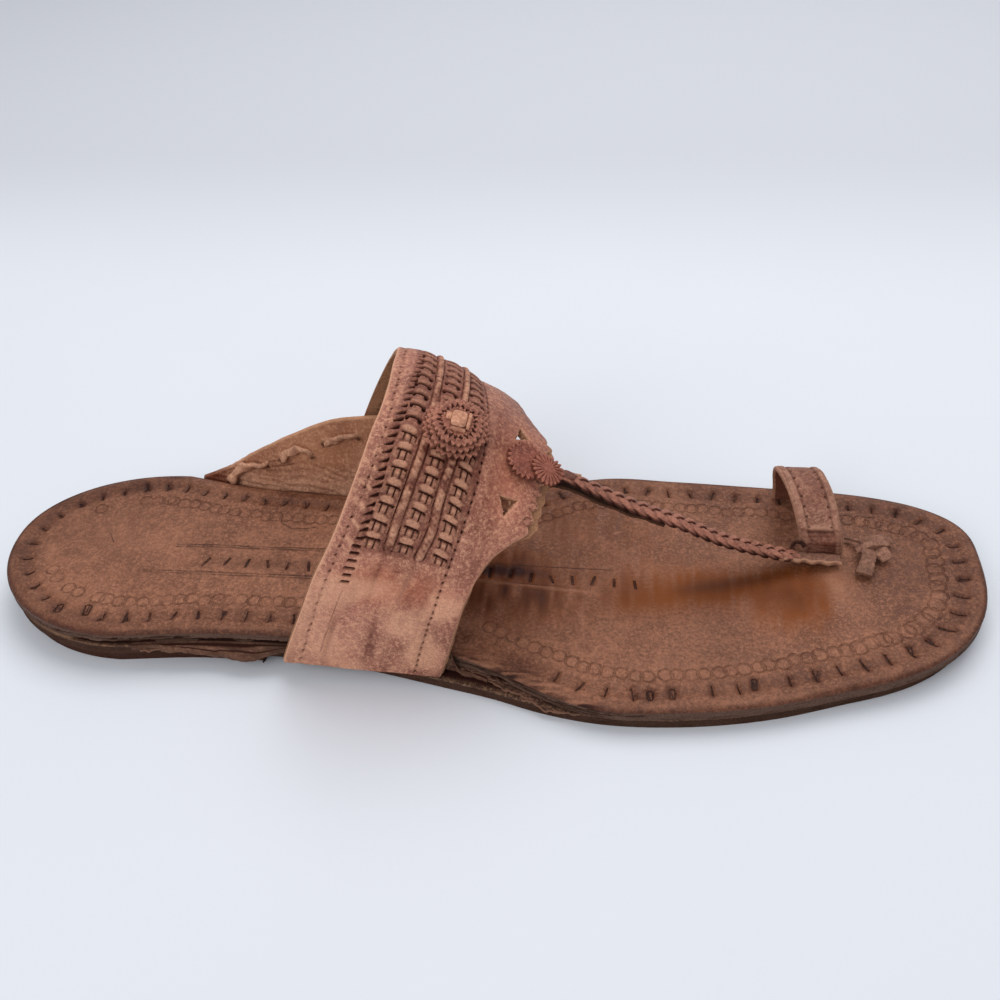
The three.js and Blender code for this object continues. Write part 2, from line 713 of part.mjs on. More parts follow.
function toothedDisc(radius, thick, teeth) {
  const shape = new THREE.Shape();
  for (let k = 0; k < teeth * 2; k += 1) {
    const angle = (Math.PI * k) / teeth;
    const reach = radius * (k % 2 === 0 ? 1 : 1 - TOOTH_DEPTH);
    const point = [reach * Math.cos(angle), reach * Math.sin(angle)];
    if (k === 0) {
      shape.moveTo(...point);
    } else {
      shape.lineTo(...point);
    }
  }
  shape.closePath();
  return new THREE.ExtrudeGeometry(shape, { depth: thick, bevelEnabled: false });
}

function standOnBand(geometry, round, forward, lift) {
  const { origin, ahead, side, normal } = bandFrame(round, forward);
  const turn = new THREE.Matrix4().makeBasis(ahead, side, normal);
  turn.setPosition(origin.addScaledVector(normal, lift));
  return geometry.applyMatrix4(turn);
}

function knob() {
  const { width, length, thick, lift } = KNOB;
  const block = new THREE.BoxGeometry(length, width, thick);
  return standOnBand(block, ROSETTES[0].round, ROSETTES[0].forward, lift + thick / 2);
}

// ---------------------------------------------------------------- assembly

function leather(hex, roughness) {
  return new THREE.MeshStandardMaterial({ color: hex, roughness, metalness: 0 });
}

const LEATHER = {
  topSole: leather(0x7f5440, 0.55),
  edge: leather(0x5a4338, 0.85),
  heel: leather(0x46322b, 0.8),
  ear: leather(0x876a4a, 0.8),
  band: leather(0xa06a54, 0.6),
  rosette: leather(0x7c4c42, 0.65),
  knob: leather(0xb98a6c, 0.6),
  braid: leather(0x86544a, 0.6),
};

const sandal = new THREE.Group();
sandal.position.copy(ORIGIN_SHIFT);

function add(name, geometry, material) {
  const mesh = new THREE.Mesh(geometry, material);
  mesh.name = name;
  sandal.add(mesh);
}

add('top_sole', topSole(), LEATHER.topSole);
add('filler_layer', filler(), LEATHER.edge);
add('outsole', outsole(), LEATHER.edge);
add('heel_lift', heelLift(), LEATHER.heel);
add('ear_inner', innerEar(), LEATHER.ear);
add('ear_outer', outerEar(), LEATHER.ear);
add('instep_band', instepBand(), LEATHER.band);
for (const { name, round, forward, radius, thick, lift, teeth } of ROSETTES) {
  add(name, standOnBand(toothedDisc(radius, thick, teeth), round, forward, lift), LEATHER.rosette);
}
add('rosette_knob', knob(), LEATHER.knob);
add('braid', sweep(BRAID, 38, 8, 1), LEATHER.braid);
add('braid_backing', sweep(BRAID_BACKING, 18, 8, 0.5), LEATHER.braid);
add('toe_loop', toeLoop(), LEATHER.band);
add('toe_knot', toeKnot(), LEATHER.braid);

export default sandal;
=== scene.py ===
"""Kolhapuri sandal, right foot: the leather surfaces, tooling, weave and stitches around the CAD frame.

Lengths are millimetres, +X from heel to toe, +Y to the big-toe side, +Z up, as in the part's own
tables. place() moves them by the origin's shift and turns them into metres.
"""

import math

import bmesh
import bpy
import numpy as np
from mathutils import Matrix, Vector


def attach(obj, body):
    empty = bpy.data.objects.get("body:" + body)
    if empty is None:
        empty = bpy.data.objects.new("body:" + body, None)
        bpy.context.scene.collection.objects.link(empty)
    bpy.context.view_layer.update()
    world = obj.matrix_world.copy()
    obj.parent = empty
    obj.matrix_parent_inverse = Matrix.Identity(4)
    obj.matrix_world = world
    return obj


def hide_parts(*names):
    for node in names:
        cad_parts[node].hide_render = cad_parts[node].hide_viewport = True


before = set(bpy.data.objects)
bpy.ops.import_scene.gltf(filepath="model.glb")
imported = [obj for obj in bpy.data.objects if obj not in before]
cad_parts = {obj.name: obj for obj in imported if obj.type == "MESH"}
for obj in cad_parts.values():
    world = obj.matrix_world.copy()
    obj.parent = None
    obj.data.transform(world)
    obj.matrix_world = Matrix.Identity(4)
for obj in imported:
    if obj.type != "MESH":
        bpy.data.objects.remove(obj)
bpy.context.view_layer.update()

MM = 0.001
ORIGIN_SHIFT = np.array((1.0, -0.58, 0.0))
BODY = "root"

# ---------------------------------------------------------------- driving sizes of the part

HEEL_END, TOE_END = -150.5, 148.5
HEEL_CAP_START, TOE_CAP_START = -104.0, 105.0
OUTSOLE_HEEL_END, OUTSOLE_TOE_END = -150.0, 146.0
TOP_SOLE_THICK, OUTSOLE_THICK, HEEL_LIFT_THICK = 3.9, 3.4, 3.6
LAYER_FILM = 0.3
HEEL_RAISE = HEEL_LIFT_THICK + LAYER_FILM
HEEL_BREAST = -60.0
TOE_SPRING, SPRING_START, SPRING_LENGTH = 3.0, 92.0, 58.0
EAR_GAP = 1.8
BAND_WALL, BAND_FOOT_Z, BAND_CREST_Z, BAND_REAR_X = 2.5, 4.5, 77.0, -54.5
BAND_FOOT_RISE, BAND_LEAN, BAND_LEAN_CURVE = 2.4, 0.28, 0.00185
SKIN_GAP = 0.3

# ---------------------------------------------------------------- tables shared with the part

# x, half-width on the little-toe side, half-width on the big-toe side.
TOP_OUTLINE = [
    (-104, 36.8, 35.4), (-80, 34.1, 30.8), (-52, 33.1, 28.8), (-28, 32.6, 28.5), (-6, 33.3, 30.5),
    (10, 38.5, 37.5), (22, 43.8, 44.5), (34, 47.8, 48.2), (60, 47.5, 48.2), (84, 43.3, 47),
    (105, 36.8, 45.8),
]
OUTSOLE_OUTLINE = [
    (-104, 36.4, 35), (-80, 33.9, 30.4), (-52, 34, 28.4), (-30, 35.2, 28.1), (-8, 38.3, 29.8),
    (8, 41.6, 36.2), (20, 45, 43), (34, 47.5, 47.8), (60, 47.1, 47.7), (84, 42.7, 46.2),
    (105, 35.8, 44.4),
]
# y, z of the band's section at its rear edge, from the little-toe side over the instep.
BAND_ARCH = [
    (-38.5, 4.5), (-37.2, 20), (-36, 36), (-33, 50), (-26, 62.5), (-15, 71.5), (-3, 75.8), (10, 77),
    (22, 74.5), (31, 67.5), (37, 56), (40.8, 42), (42, 26), (40, 10),
]
# Forward distance, crest height on the outer side, crest height on the inner side.
BAND_CREST = [
    (0, 77, 77), (8, 76.2, 75.8), (14, 75, 73.4), (22, 73, 70), (30, 70.5, 65.2), (37, 66.5, 61.8),
    (43, 62.5, 58), (48, 60, 54.5), (52, 58, 52), (58, 55, 49),
]
CREST_BLEND_START, CREST_BLEND_LENGTH = 82.0, 34.0
# Distance round the arch, rear edge, front edge.
BAND_EDGES = [
    (0, 0.2, 46.3), (11, 0.9, 46.4), (23, 1.7, 45.7), (35, 2, 45.3), (44, 2.7, 45.6), (52, 2.8, 47.5),
    (57, 2.6, 50.5), (64, 2.2, 55.3), (69, 1.8, 55.2), (76, 1.3, 55.5), (82, 1.4, 55.7),
    (89, 1.1, 55.4), (93, 0.9, 55.2), (97, 0.5, 54.2), (101, 0.2, 52), (107, 0.3, 48.4),
    (114, 0.5, 45.8), (131, 0.6, 44.8), (155, 0.4, 45.6), (183.7, 0.2, 46.3),
]
# Corners of the two V cuts: (round, forward) twice for the mouth, then the tip.
V_CUTS = [
    ((69.6, 42.9), (70.3, 48.6), (64.5, 46.1)),
    ((88.7, 42.8), (91.7, 47.7), (95.2, 44.1)),
]

# ---------------------------------------------------------------- curves and noise


def along(rows, column, at):
    """Smooth curve through one column of a table whose first column is the station."""
    table = np.asarray(rows, float)
    knots, values = table[:, 0], table[:, column]
    gap = np.diff(knots)
    secant = np.diff(values) / gap
    slope = np.empty_like(knots)
    slope[0], slope[-1] = secant[0], secant[-1]
    slope[1:-1] = (gap[1:] * secant[:-1] + gap[:-1] * secant[1:]) / (gap[:-1] + gap[1:])
    x = np.clip(np.asarray(at, float), knots[0], knots[-1])
    i = np.clip(np.searchsorted(knots, x, side="right") - 1, 0, len(gap) - 1)
    t = (x - knots[i]) / gap[i]
    return ((2 * t**3 - 3 * t**2 + 1) * values[i] + (t**3 - 2 * t**2 + t) * gap[i] * slope[i]
            + (3 * t**2 - 2 * t**3) * values[i + 1] + (t**3 - t**2) * gap[i] * slope[i + 1])


def path(rows, at):
    """Points on a smooth curve through rows of x, y, z, ... at fractions 0 to 1 of its rows."""
    table = np.column_stack([np.arange(len(rows)), np.asarray(rows, float)])
    station = np.asarray(at, float) * (len(rows) - 1)
    return np.stack([along(table, k, station) for k in range(1, table.shape[1])], -1)


def even_path(rows, spacing):
    """The same curve sampled at even steps of length, with the distance of each sample."""
    dense = path(rows, np.linspace(0, 1, 600))
    run = np.r_[0, np.cumsum(np.linalg.norm(np.diff(dense[:, :3], axis=0), axis=1))]
    count = max(int(run[-1] / spacing), 2)
    at = np.linspace(0, run[-1], count + 1)
    samples = np.stack([np.interp(at, run, dense[:, k]) for k in range(dense.shape[1])], -1)
    return samples, at


def smooth_step(t):
    c = np.clip(t, 0, 1)
    return c * c * (3 - 2 * c)


def window(value, low, high, soft):
    """1 between low and high, falling smoothly to 0 over soft on either side."""
    return smooth_step((value - low) / soft + 1) * smooth_step((high - value) / soft + 1)


def bump(value, width):
    return np.exp(-(value / width) ** 2)


def noise(a, b, size, seed):
    """Smooth noise from -1 to 1 over two lengths, with features of the given size."""
    lattice = np.random.default_rng(seed).uniform(-1, 1, (97, 89))
    u, v = np.asarray(a, float) / size + 41.3, np.asarray(b, float) / size + 37.7
    i, j = np.floor(u).astype(int), np.floor(v).astype(int)
    fu, fv = smooth_step(u - i), smooth_step(v - j)

    def pick(m, n):
        return lattice[(i + m) % 97, (j + n) % 89]

    low = pick(0, 0) * (1 - fu) + pick(1, 0) * fu
    high = pick(0, 1) * (1 - fu) + pick(1, 1) * fu
    return low * (1 - fv) + high * fv


# ---------------------------------------------------------------- meshes

VALUES = ("cut", "wear", "tone", "warm", "raw")


def place(points):
    return (np.asarray(points, float).reshape(-1, 3) + ORIGIN_SHIFT) * MM


def grid_faces(rows, columns, close_rows=False, close_columns=False):
    """Quads over points numbered row by row."""
    i = np.arange(rows if close_rows else rows - 1)
    j = np.arange(columns if close_columns else columns - 1)
    a, b = (m.ravel() for m in np.meshgrid(i, j, indexing="ij"))
    c, d = (a + 1) % rows, (b + 1) % columns
    return np.stack([a * columns + b, c * columns + b, c * columns + d, a * columns + d], -1)


class Skin:
    """Collects sheets of points, quads and per-point values, and makes one mesh object of them.

    The values steer the leather shader: cut darkens slits and seams, and also paints shade in gaps,
    cracks, creases, holes and under parts; wear lightens rubbed ridges, and on woven bars and braid
    strands it also carries a painted highlight; tone darkens or lightens softly, for uneven dye and in
    places for painted shade; warm adds an orange colour for rubbed leather, also laid along the braid's
    painted shadow; and raw bares the cut edge.
    """

    def __init__(self, name, extra=(), extra_default=0.0):
        self.name = name
        self.defaults = {**dict.fromkeys(VALUES, 0.0), **dict.fromkeys(extra, extra_default)}
        self.points, self.faces, self.values = [], [], {key: [] for key in self.defaults}
        self.count = 0

    def add(self, points, faces, **values):
        flat = np.asarray(points, float).reshape(-1, 3)
        self.points.append(flat)
        self.faces.append(np.asarray(faces) + self.count)
        for key, default in self.defaults.items():
            value = np.asarray(values.get(key, default), float)
            if value.ndim:
                value = np.broadcast_to(value, points.shape[:-1]).ravel()
            self.values[key].append(np.broadcast_to(value, len(flat)))
        self.count += len(flat)

    def grid(self, points, close_rows=False, close_columns=False, **values):
        rows, columns = points.shape[:2]
        self.add(points, grid_faces(rows, columns, close_rows, close_columns), **values)

    def build(self, material, replaces=(), sharp=50, weld=0.002):
        points = np.concatenate(self.points)
        faces = np.concatenate(self.faces)
        keys = np.round(points / weld).astype(np.int64)
        _, first, same = np.unique(keys, axis=0, return_index=True, return_inverse=True)
        faces = same.reshape(-1)[faces]
        keep = faces != np.roll(faces, 1, axis=1)
        whole = keep.sum(1) > 2
        faces, keep = faces[whole], keep[whole]
        sizes = keep.sum(1)
        corners = faces[keep]
        mesh = bpy.data.meshes.new(self.name)
        mesh.vertices.add(len(first))
        mesh.vertices.foreach_set("co", place(points[first]).astype(np.float32).ravel())
        mesh.loops.add(len(corners))
        mesh.loops.foreach_set("vertex_index", corners.astype(np.int32))
        mesh.polygons.add(len(sizes))
        mesh.polygons.foreach_set("loop_start", np.r_[0, np.cumsum(sizes)[:-1]].astype(np.int32))
        mesh.update(calc_edges=True)
        mesh.validate()
        for key in self.defaults:
            column = np.concatenate(self.values[key])[first]
            attribute = mesh.attributes.new(key, "FLOAT", "POINT")
            attribute.data.foreach_set("value", column.astype(np.float32))
        work = bmesh.new()
        work.from_mesh(mesh)
        bmesh.ops.recalc_face_normals(work, faces=work.faces)
        work.to_mesh(mesh)
        work.free()
        mesh.shade_smooth()
        mesh.set_sharp_from_angle(angle=math.radians(sharp))
        mesh.materials.append(material)
        piece = bpy.data.objects.new(self.name, mesh)
        bpy.context.scene.collection.objects.link(piece)
        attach(piece, BODY)
        if replaces:
            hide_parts(*replaces)
        return piece


# ---------------------------------------------------------------- materials


class Tree:
    """A small wrapper that builds one node material."""

    def __init__(self, name):
        self.material = bpy.data.materials.new(name)
        self.material.use_nodes = True
        self.nodes = self.material.node_tree.nodes
        self.links = self.material.node_tree.links
        self.shader = self.nodes["Principled BSDF"]
        coordinates = self.nodes.new("ShaderNodeTexCoord")
        self.position = coordinates.outputs["Object"]

    def put(self, socket, value):
        if isinstance(value, bpy.types.NodeSocket):
            self.links.new(value, socket)
        elif isinstance(value, tuple) and len(value) == 3 and socket.type == "RGBA":
            socket.default_value = (*value, 1)
        else:
            socket.default_value = value

    def attribute(self, name):
        node = self.nodes.new("ShaderNodeAttribute")
        node.attribute_name = name
        return node.outputs["Fac"]

    def math(self, operation, a, b=0.0, clamp=False):
        node = self.nodes.new("ShaderNodeMath")
        node.operation = operation
        node.use_clamp = clamp
        self.put(node.inputs[0], a)
        self.put(node.inputs[1], b)
        return node.outputs[0]

    def ramp(self, value, low, high, to_low=0.0, to_high=1.0):
        node = self.nodes.new("ShaderNodeMapRange")
        node.interpolation_type = "SMOOTHSTEP"
        for socket, item in zip(node.inputs, (value, low, high, to_low, to_high)):
            self.put(socket, item)
        return node.outputs[0]

    def mix(self, share, a, b, blend="MIX"):
        node = self.nodes.new("ShaderNodeMix")
        node.data_type = "RGBA"
        node.blend_type = blend
        self.put(node.inputs[0], share)
        self.put(node.inputs[6], a)
        self.put(node.inputs[7], b)
        return node.outputs[2]

    def noise(self, feature, detail=4.0, roughness=0.55, distortion=0.0, vector=None):
        """Noise with features of the given size in millimetres."""
        node = self.nodes.new("ShaderNodeTexNoise")
        self.put(node.inputs["Vector"], vector or self.position)
        node.inputs["Scale"].default_value = 1 / (feature * MM)
        node.inputs["Detail"].default_value = detail
        node.inputs["Roughness"].default_value = roughness
        node.inputs["Distortion"].default_value = distortion
        return node.outputs[0]

    def cells(self, feature, kind="F1"):
        node = self.nodes.new("ShaderNodeTexVoronoi")
        node.feature = kind
        self.put(node.inputs["Vector"], self.position)
        node.inputs["Scale"].default_value = 1 / (feature * MM)
        return node.outputs["Distance"]

    def bump(self, height, depth, strength=1.0, normal=None):
        node = self.nodes.new("ShaderNodeBump")
        node.inputs["Distance"].default_value = depth * MM
        node.inputs["Strength"].default_value = strength
        self.put(node.inputs["Height"], height)
        if normal is not None:
            self.put(node.inputs["Normal"], normal)
        return node.outputs[0]


def rgb(red, green, blue):
    """Linear colour from the 0-255 values seen on a screen."""
    def linear(v):
        c = v / 255
        return c / 12.92 if c <= 0.04045 else ((c + 0.055) / 1.055) ** 2.4
    return (linear(red), linear(green), linear(blue))


# Near-black for slits and seams, and also for painted shade in gaps, cracks, creases and under parts.
CUT_AND_SHADE_COLOUR = rgb(46, 17, 9)
# The studio light is cool, so every dye is mixed a little warmer than it looks in the photo.
WARMER = (1.12, 0.95, 0.815)


def leather(name, base, dark, light, warm, raw, roughness, grain=0.10, patch=26, mottle=3.2,
            details=None):
    """Dyed leather: cloudy dye, fine mottling, pores, rubbed ridges and near-black slits.

    Besides slits, the cut value paints shade in gaps, creases and under parts, the wear value also
    gives a painted highlight on woven bars and braid strands, and tone also carries painted shade.
    details(tree, colour) may add marks of its own, and returns the colour and a height for bump.
    """
    base, dark, light, warm, raw = (tuple(c * k for c, k in zip(dye, WARMER))
                                    for dye in (base, dark, light, warm, raw))
    tree = Tree(name)
    cloud = tree.noise(patch, 4, 0.6, 0.4)
    fleck = tree.noise(mottle, 6, 0.68)
    pore = tree.cells(0.55)
    fibre = tree.noise(0.4, 3, 0.7)
    speck = tree.noise(1.0, 2, 0.6)
    colour = tree.mix(tree.ramp(cloud, 0.36, 0.66), dark, base)
    colour = tree.mix(tree.ramp(fleck, 0.42, 0.78, 0, 0.55), colour, light)
    colour = tree.mix(tree.ramp(fleck, 0.5, 0.24, 0, 0.5), colour, dark)
    colour = tree.mix(tree.ramp(fibre, 0.50, 0.70, 0, 0.62), colour, light)
    colour = tree.mix(tree.ramp(fibre, 0.50, 0.30, 0, 0.66), colour, dark)
    colour = tree.mix(tree.ramp(speck, 0.50, 0.68, 0, 0.5), colour, light)
    colour = tree.mix(tree.ramp(speck, 0.48, 0.30, 0, 0.6), colour, dark)
    colour = tree.mix(tree.math("MULTIPLY", tree.attribute("warm"), 1.0, clamp=True), colour, warm)
    tone = tree.attribute("tone")
    colour = tree.mix(tree.math("MULTIPLY", tone, 1.0, clamp=True), colour, dark, "MULTIPLY")
    wear = tree.math("MULTIPLY", tree.attribute("wear"), tree.ramp(fibre, 0.3, 0.6, 0.55, 1.0), clamp=True)
    colour = tree.mix(wear, colour, light)
    bare = tree.mix(tree.ramp(fibre, 0.3, 0.7), raw, tuple(c * 0.55 for c in raw))
    colour = tree.mix(tree.math("MULTIPLY", tree.attribute("raw"), 1.0, clamp=True), colour, bare)
    colour = tree.mix(tree.math("MULTIPLY", tree.attribute("cut"), 1.0, clamp=True), colour, CUT_AND_SHADE_COLOUR)
    height = None
    if details:
        colour, height = details(tree, colour)
    tree.put(tree.shader.inputs["Base Color"], colour)
    rough = tree.ramp(fleck, 0.3, 0.75, roughness[0], roughness[1])
    rough = tree.math("ADD", rough, tree.math("MULTIPLY", tree.attribute("raw"), 0.3), clamp=True)
    rough = tree.math("ADD", rough, tree.math("MULTIPLY", tree.attribute("cut"), 0.5), clamp=True)
    tree.put(tree.shader.inputs["Roughness"], rough)
    tree.shader.inputs["Specular IOR Level"].default_value = 0.2
    fine = tree.bump(pore, 0.12, grain)
    normal = tree.bump(fibre, 0.18, 0.5, fine)
    normal = tree.bump(speck, 0.3, 0.4, normal)
    normal = tree.bump(fleck, 0.6, 0.42, normal)
    if height is not None:
        normal = tree.bump(height, 0.35, 1.0, normal)
    tree.put(tree.shader.inputs["Normal"], normal)
    return tree.material


# ---------------------------------------------------------------- sole outline and heights

HEEL_POWER, TOE_POWER_OUTER, TOE_POWER_INNER = 2.05, 3.0, 2.6
HEEL_MIDDLE, TOE_MIDDLE = 3.0, 16.5
SPINE_START, SPINE_END = -114.0, 110.0


def outline_side(rows, side, heel_end, toe_end):
    """Dense points down one side of a layer, from the middle of the heel to the end of the toe."""
    column = 1 if side < 0 else 2
    turn = np.linspace(0, math.pi / 2, 300)
    heel_x = HEEL_CAP_START - (HEEL_CAP_START - heel_end) * np.cos(turn) ** (2 / HEEL_POWER)
    heel_edge = side * rows[0][column]
    heel_y = HEEL_MIDDLE + (heel_edge - HEEL_MIDDLE) * np.sin(turn) ** (2 / HEEL_POWER)
    middle_x = np.linspace(HEEL_CAP_START, TOE_CAP_START, 700)
    middle_y = side * along(rows, column, middle_x)
    power = TOE_POWER_OUTER if side < 0 else TOE_POWER_INNER
    past = (toe_end - TOE_CAP_START) * np.sin(turn) ** (2 / power)
    draw_in = 0.31 if side < 0 else 0.12
    line = side * (rows[-1][column] - draw_in * past)
    toe_y = TOE_MIDDLE + (line - TOE_MIDDLE) * np.cos(turn) ** (2 / power)
    points = np.column_stack([np.r_[heel_x, middle_x[1:], (TOE_CAP_START + past)[1:]],
                              np.r_[heel_y, middle_y[1:], toe_y[1:]]])
    return points


def even_outline(points, count):
    run = np.r_[0, np.cumsum(np.linalg.norm(np.diff(points, axis=0), axis=1))]
    at = np.linspace(0, run[-1], count + 1)
    return np.stack([np.interp(at, run, points[:, k]) for k in (0, 1)], -1)


def outsole_bottom(x):
    spring = np.clip((x - SPRING_START) / SPRING_LENGTH, 0, 1)
    return HEEL_RAISE * (1 - smooth_step((x - HEEL_BREAST) / -HEEL_BREAST)) + TOE_SPRING * spring**2


def outsole_top(x):
    return outsole_bottom(x) + OUTSOLE_THICK


def layer_gap(x):
    return LAYER_FILM + (EAR_GAP - LAYER_FILM) * (1 - smooth_step((x + 10) / 45))


def top_sole_bottom(x):
    return outsole_top(x) + layer_gap(x)


def top_sole_top(x):
    return top_sole_bottom(x) + TOP_SOLE_THICK


class Layer:
    """A sole layer: matching outline points on both sides and lines that run in to its spine."""

    def __init__(self, rows, heel_end, toe_end, count):
        self.outer = even_outline(outline_side(rows, -1, heel_end, toe_end), count)
        self.inner = even_outline(outline_side(rows, 1, heel_end, toe_end), count)
        middle = (self.outer + self.inner) / 2
        spine_x = np.clip(middle[:, 0], SPINE_START, SPINE_END)
        self.spine = np.column_stack([spine_x, np.interp(spine_x, middle[:, 0], middle[:, 1])])
        self.rim = np.concatenate([self.outer, self.inner[::-1]])

    def sheet(self, insets, inner_steps):
        """Points and distances from the edge, from the outer edge over the spine to the inner edge."""
        last = insets[-1]
        share = np.linspace(0, 1, inner_steps + 1)[1:]

        def half(edge):
            toward = self.spine - edge
            length = np.linalg.norm(toward, axis=1, keepdims=True)
            depth = np.concatenate([np.broadcast_to(insets, (len(edge), len(insets))),
                                    last + (length - last) * share], 1)
            return edge[:, None] + (toward / length)[:, None] * depth[..., None], depth

        outer, outer_depth = half(self.outer)
        inner, inner_depth = half(self.inner)
        points = np.concatenate([outer, inner[:, -2::-1]], 1)
        return points, np.concatenate([outer_depth, inner_depth[:, -2::-1]], 1)

    def rim_outward(self):
        ahead = np.gradient(self.rim, axis=0)
        ahead[0] = ahead[1]
        side = np.column_stack([ahead[:, 1], -ahead[:, 0]])
        return side / np.maximum(np.linalg.norm(side, axis=1, keepdims=True), 1e-9)

    def rim_run(self):
        step = np.linalg.norm(np.diff(self.rim, axis=0), axis=1)
        return np.r_[0, np.cumsum(step)]


def add_plate(skin, layer, insets, inner_steps, top_at, bottom_at, rounding, ragged, seed,
              relief=None, rim_rows=7, top_painted_shade=0.0, under_painted_shade=0.0, splits=()):
    """A leather layer with a rounded rim, a fibrous cut edge and a plain underside.

    The top and underside shade values darken a face that is only seen down a gap between layers:
    painted shade. splits are cracks along the little-toe rim, painted dark inside as shade: depth down
    the rim from 0 to 1, first x, last x.
    """
    sheet, depth = layer.sheet(insets, inner_steps)
    x, y = sheet[..., 0], sheet[..., 1]
    round_drop = rounding - np.sqrt(np.maximum(rounding**2 - np.maximum(rounding - depth, 0) ** 2, 0))
    fade = smooth_step(depth / 1.5)
    # Without a relief, the top face is painted dark as shade, all but a strip along its rim.
    lift, marks = relief(x, y, depth) if relief else (
        0 * x, {"cut": top_painted_shade * smooth_step((depth - 0.6) / 0.8)})
    z = top_at(x) - round_drop + lift * fade
    skin.grid(np.stack([x, y, z], -1), **marks)

    rim, out, run = layer.rim, layer.rim_outward(), layer.rim_run()
    low, high = bottom_at(rim[:, 0]), top_at(rim[:, 0]) - rounding
    share = np.linspace(0, 1, rim_rows)[:, None]
    height = high + (low - high) * share
    rough = (noise(run[None, :] * 0.35, height * 3, 1.4, seed)
             + 0.6 * noise(run[None, :], height, 0.8, seed + 1))
    push = ragged * (rough - 0.9) * smooth_step(share * (1 - share) * 14)
    crack = np.zeros(push.shape)
    for k, (level, start, end) in enumerate(splits):
        drift = 0.14 * noise(run[None] * 0.13, 0 * run[None], 1.0, seed + 5 + k)
        thin = 0.035 + 0.05 * smooth_step(noise(run[None] * 0.2, 0 * run[None], 1.0, seed + 9 + k) + 0.5)
        line = smooth_step((thin + 0.04 - np.abs(share - level - drift)) / 0.04)
        crack = np.maximum(crack, line * window(rim[:, 0], start, end, 5)[None] * (rim[:, 1] < 0)[None])
    # Cracks are pressed in and painted dark as the shade inside them.
    push -= 0.8 * crack
    wall = np.concatenate([rim[None] + out[None] * push[..., None], height[..., None]], -1)
    streak = 0.5 + 0.5 * noise(run[None, :], height * 5, 2.2, seed + 2)
    skin.grid(wall, raw=1.0, tone=0.25 * streak, wear=0.3 * (streak > 0.8), cut=0.9 * crack)

    # The underside takes the underside shade value as painted shade.
    under, _ = layer.sheet(np.array([0.0, 4.0]), 3)
    skin.grid(np.concatenate([under, bottom_at(under[..., 0])[..., None]], -1),
              raw=0.6, tone=0.4, cut=under_painted_shade)


def add_slab(skin, outer, inner, top_at, bottom_at, ragged, seed, draw_in=0.0, rim_rows=7):
    """A short layer between matching outer and inner points, its wall drawn in toward the bottom."""
    rim = np.concatenate([outer, inner[::-1], outer[:1]])
    ahead = np.gradient(rim, axis=0)
    out = np.column_stack([ahead[:, 1], -ahead[:, 0]])
    out /= np.maximum(np.linalg.norm(out, axis=1, keepdims=True), 1e-9)
    out[[0, -1]] = (-1, 0)
    step = np.linalg.norm(np.diff(rim, axis=0), axis=1)
    run = np.r_[0, np.cumsum(step)]
    share = np.linspace(0, 1, rim_rows)[:, None]
    low, high = bottom_at(rim[:, 0]), top_at(rim[:, 0])
    height = high + (low - high) * share
    rough = noise(run[None] * 0.35, height * 3, 1.4, seed)
    push = ragged * (rough - 1) * smooth_step(share * (1 - share) * 14) - draw_in * share
    wall = np.concatenate([rim[None] + out[None] * push[..., None], height[..., None]], -1)
    streak = 0.5 + 0.5 * noise(run[None], height * 5, 2.2, seed + 2)
    skin.grid(wall, raw=1.0, tone=0.3 * streak, wear=0.25 * (streak > 0.85))
    half = len(outer)
    for edge in (wall[0], wall[-1]):
        a, b = edge[:half], edge[half:-1][::-1]
        across = np.linspace(0, 1, 9)[None, :, None]
        skin.grid(a[:, None] + (b - a)[:, None] * across, raw=0.8, tone=0.3)


def short_layer(rows, heel_end, front_end, inset_at, count):
    """Matching sides of a layer that stops at front_end, moved in by an inset."""
    sides = []
    for side in (-1, 1):
        points = outline_side(rows, side, heel_end, TOE_END)
        points = even_outline(points[points[:, 0] <= front_end], count)
        inset = inset_at(points[:, 0]) * smooth_step((points[:, 0] - heel_end) / 6)
        sides.append(np.column_stack([points[:, 0], points[:, 1] - side * inset]))
    return sides


# ---------------------------------------------------------------- tooling on the top sole

STITCH_INSET, STITCH_PITCH, STITCH_HALF, STITCH_WIDTH = 6.4, 7.1, 1.95, 0.32
RING_INSET, RING_PITCH, RING_RADIUS, RING_LINE = 13.0, 3.7, 2.05, 0.22
FAR = 9.0


def rim_path(layer, inset, pitch):
    """Places and inward directions spaced evenly along the outline, moved in by an inset."""
    rim = layer.rim - layer.rim_outward() * inset
    run = np.r_[0, np.cumsum(np.linalg.norm(np.diff(rim, axis=0), axis=1))]
    count = int(run[-1] / pitch)
    at = (np.arange(count) + 0.5) * run[-1] / count
    out = layer.rim_outward()
    spots = np.stack([np.interp(at, run, rim[:, k]) for k in (0, 1)], -1)
    turned = np.stack([np.interp(at, run, out[:, k]) for k in (0, 1)], -1)
    return spots, np.arctan2(turned[:, 1], turned[:, 0])


